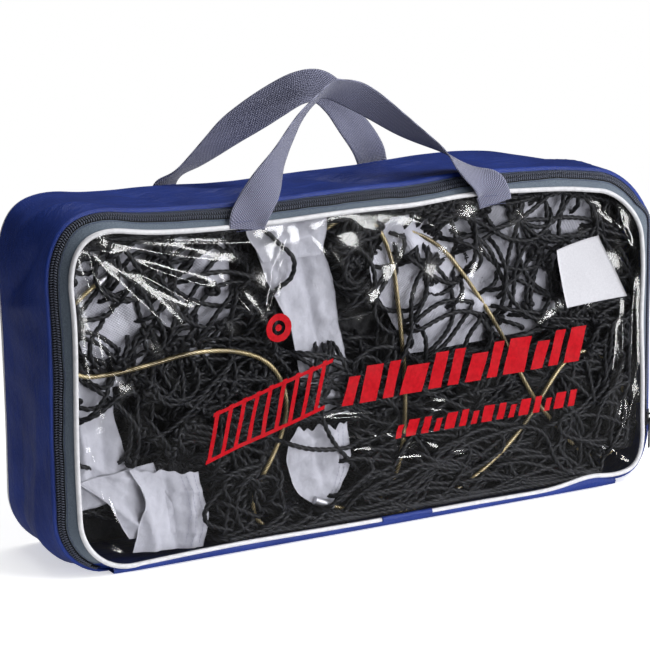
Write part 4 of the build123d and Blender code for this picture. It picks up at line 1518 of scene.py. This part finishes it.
def studio():
    floor = bpy.data.meshes.new("floor")
    reach = 1.2
    floor.from_pydata([(-reach, -reach, -0.0002), (reach, -reach, -0.0002), (reach, reach, -0.0002),
                       (-reach, reach, -0.0002)], [], [(0, 1, 2, 3)])
    obj = bpy.data.objects.new("floor", floor)
    obj.location = (0, 0.12, 0)
    bpy.context.collection.objects.link(obj)
    floor.materials.append(floor_material())
    world = bpy.data.worlds.new("white")
    world.use_nodes = True
    tree = world.node_tree
    sky = tree.nodes["Background"]
    sky.inputs["Color"].default_value = (1, 1, 1, 1)
    ray = tree.nodes.new("ShaderNodeLightPath")
    level = tree.nodes.new("ShaderNodeMapRange")
    level.inputs["To Min"].default_value = 0.42
    level.inputs["To Max"].default_value = 0.05
    tree.links.new(ray.outputs["Is Glossy Ray"], level.inputs["Value"])
    place = tree.nodes.new("ShaderNodeTexCoord")
    parts = tree.nodes.new("ShaderNodeSeparateXYZ")
    tree.links.new(place.outputs["Generated"], parts.inputs[0])
    side = tree.nodes.new("ShaderNodeMapRange")
    side.inputs["From Min"].default_value = -0.8
    side.inputs["From Max"].default_value = 0.6
    side.inputs["To Min"].default_value = 0.3
    tree.links.new(parts.outputs[0], side.inputs["Value"])
    dim = tree.nodes.new("ShaderNodeMath")
    dim.operation = "MULTIPLY"
    tree.links.new(level.outputs[0], dim.inputs[0])
    tree.links.new(side.outputs[0], dim.inputs[1])
    seen = tree.nodes.new("ShaderNodeMath")
    seen.operation = "MAXIMUM"
    tree.links.new(ray.outputs["Is Camera Ray"], seen.inputs[0])
    tree.links.new(dim.outputs[0], seen.inputs[1])
    tree.links.new(seen.outputs[0], sky.inputs["Strength"])
    bpy.context.scene.world = world
    bpy.context.scene.view_settings.view_transform = "Standard"
    for name, place, aim, size, power in (
        ("key", (1.0, -1.3, 2.1), (0, 0, 0.1), (0.9, 0.6), 27),
        ("top", (0.1, 0.5, 2.2), (0, 0, 0.1), (1.6, 1.0), 16),
        ("strip_right", (1.75, -1.3, 0.3), (0, 0, 0.12), (0.24, 1.4), 20),
        ("strip_front", (0.15, -2.1, 0.25), (0, 0, 0.12), (0.1, 1.3), 8),
        ("strip_high", (1.1, -1.9, 0.85), (0, 0, 0.12), (0.9, 0.1), 7),
        ("strip_low", (0.78, -1.9, 0.19), (0, 0, 0.12), (0.5, 0.2), 8),
    ):
        data = bpy.data.lights.new(name, "AREA")
        data.shape = "RECTANGLE"
        data.size, data.size_y = size
        data.energy = power
        lamp = bpy.data.objects.new(name, data)
        bpy.context.collection.objects.link(lamp)
        lamp.location = place
        lamp.rotation_euler = (Vector(aim) - Vector(place)).to_track_quat("-Z", "Y").to_euler()


studio()
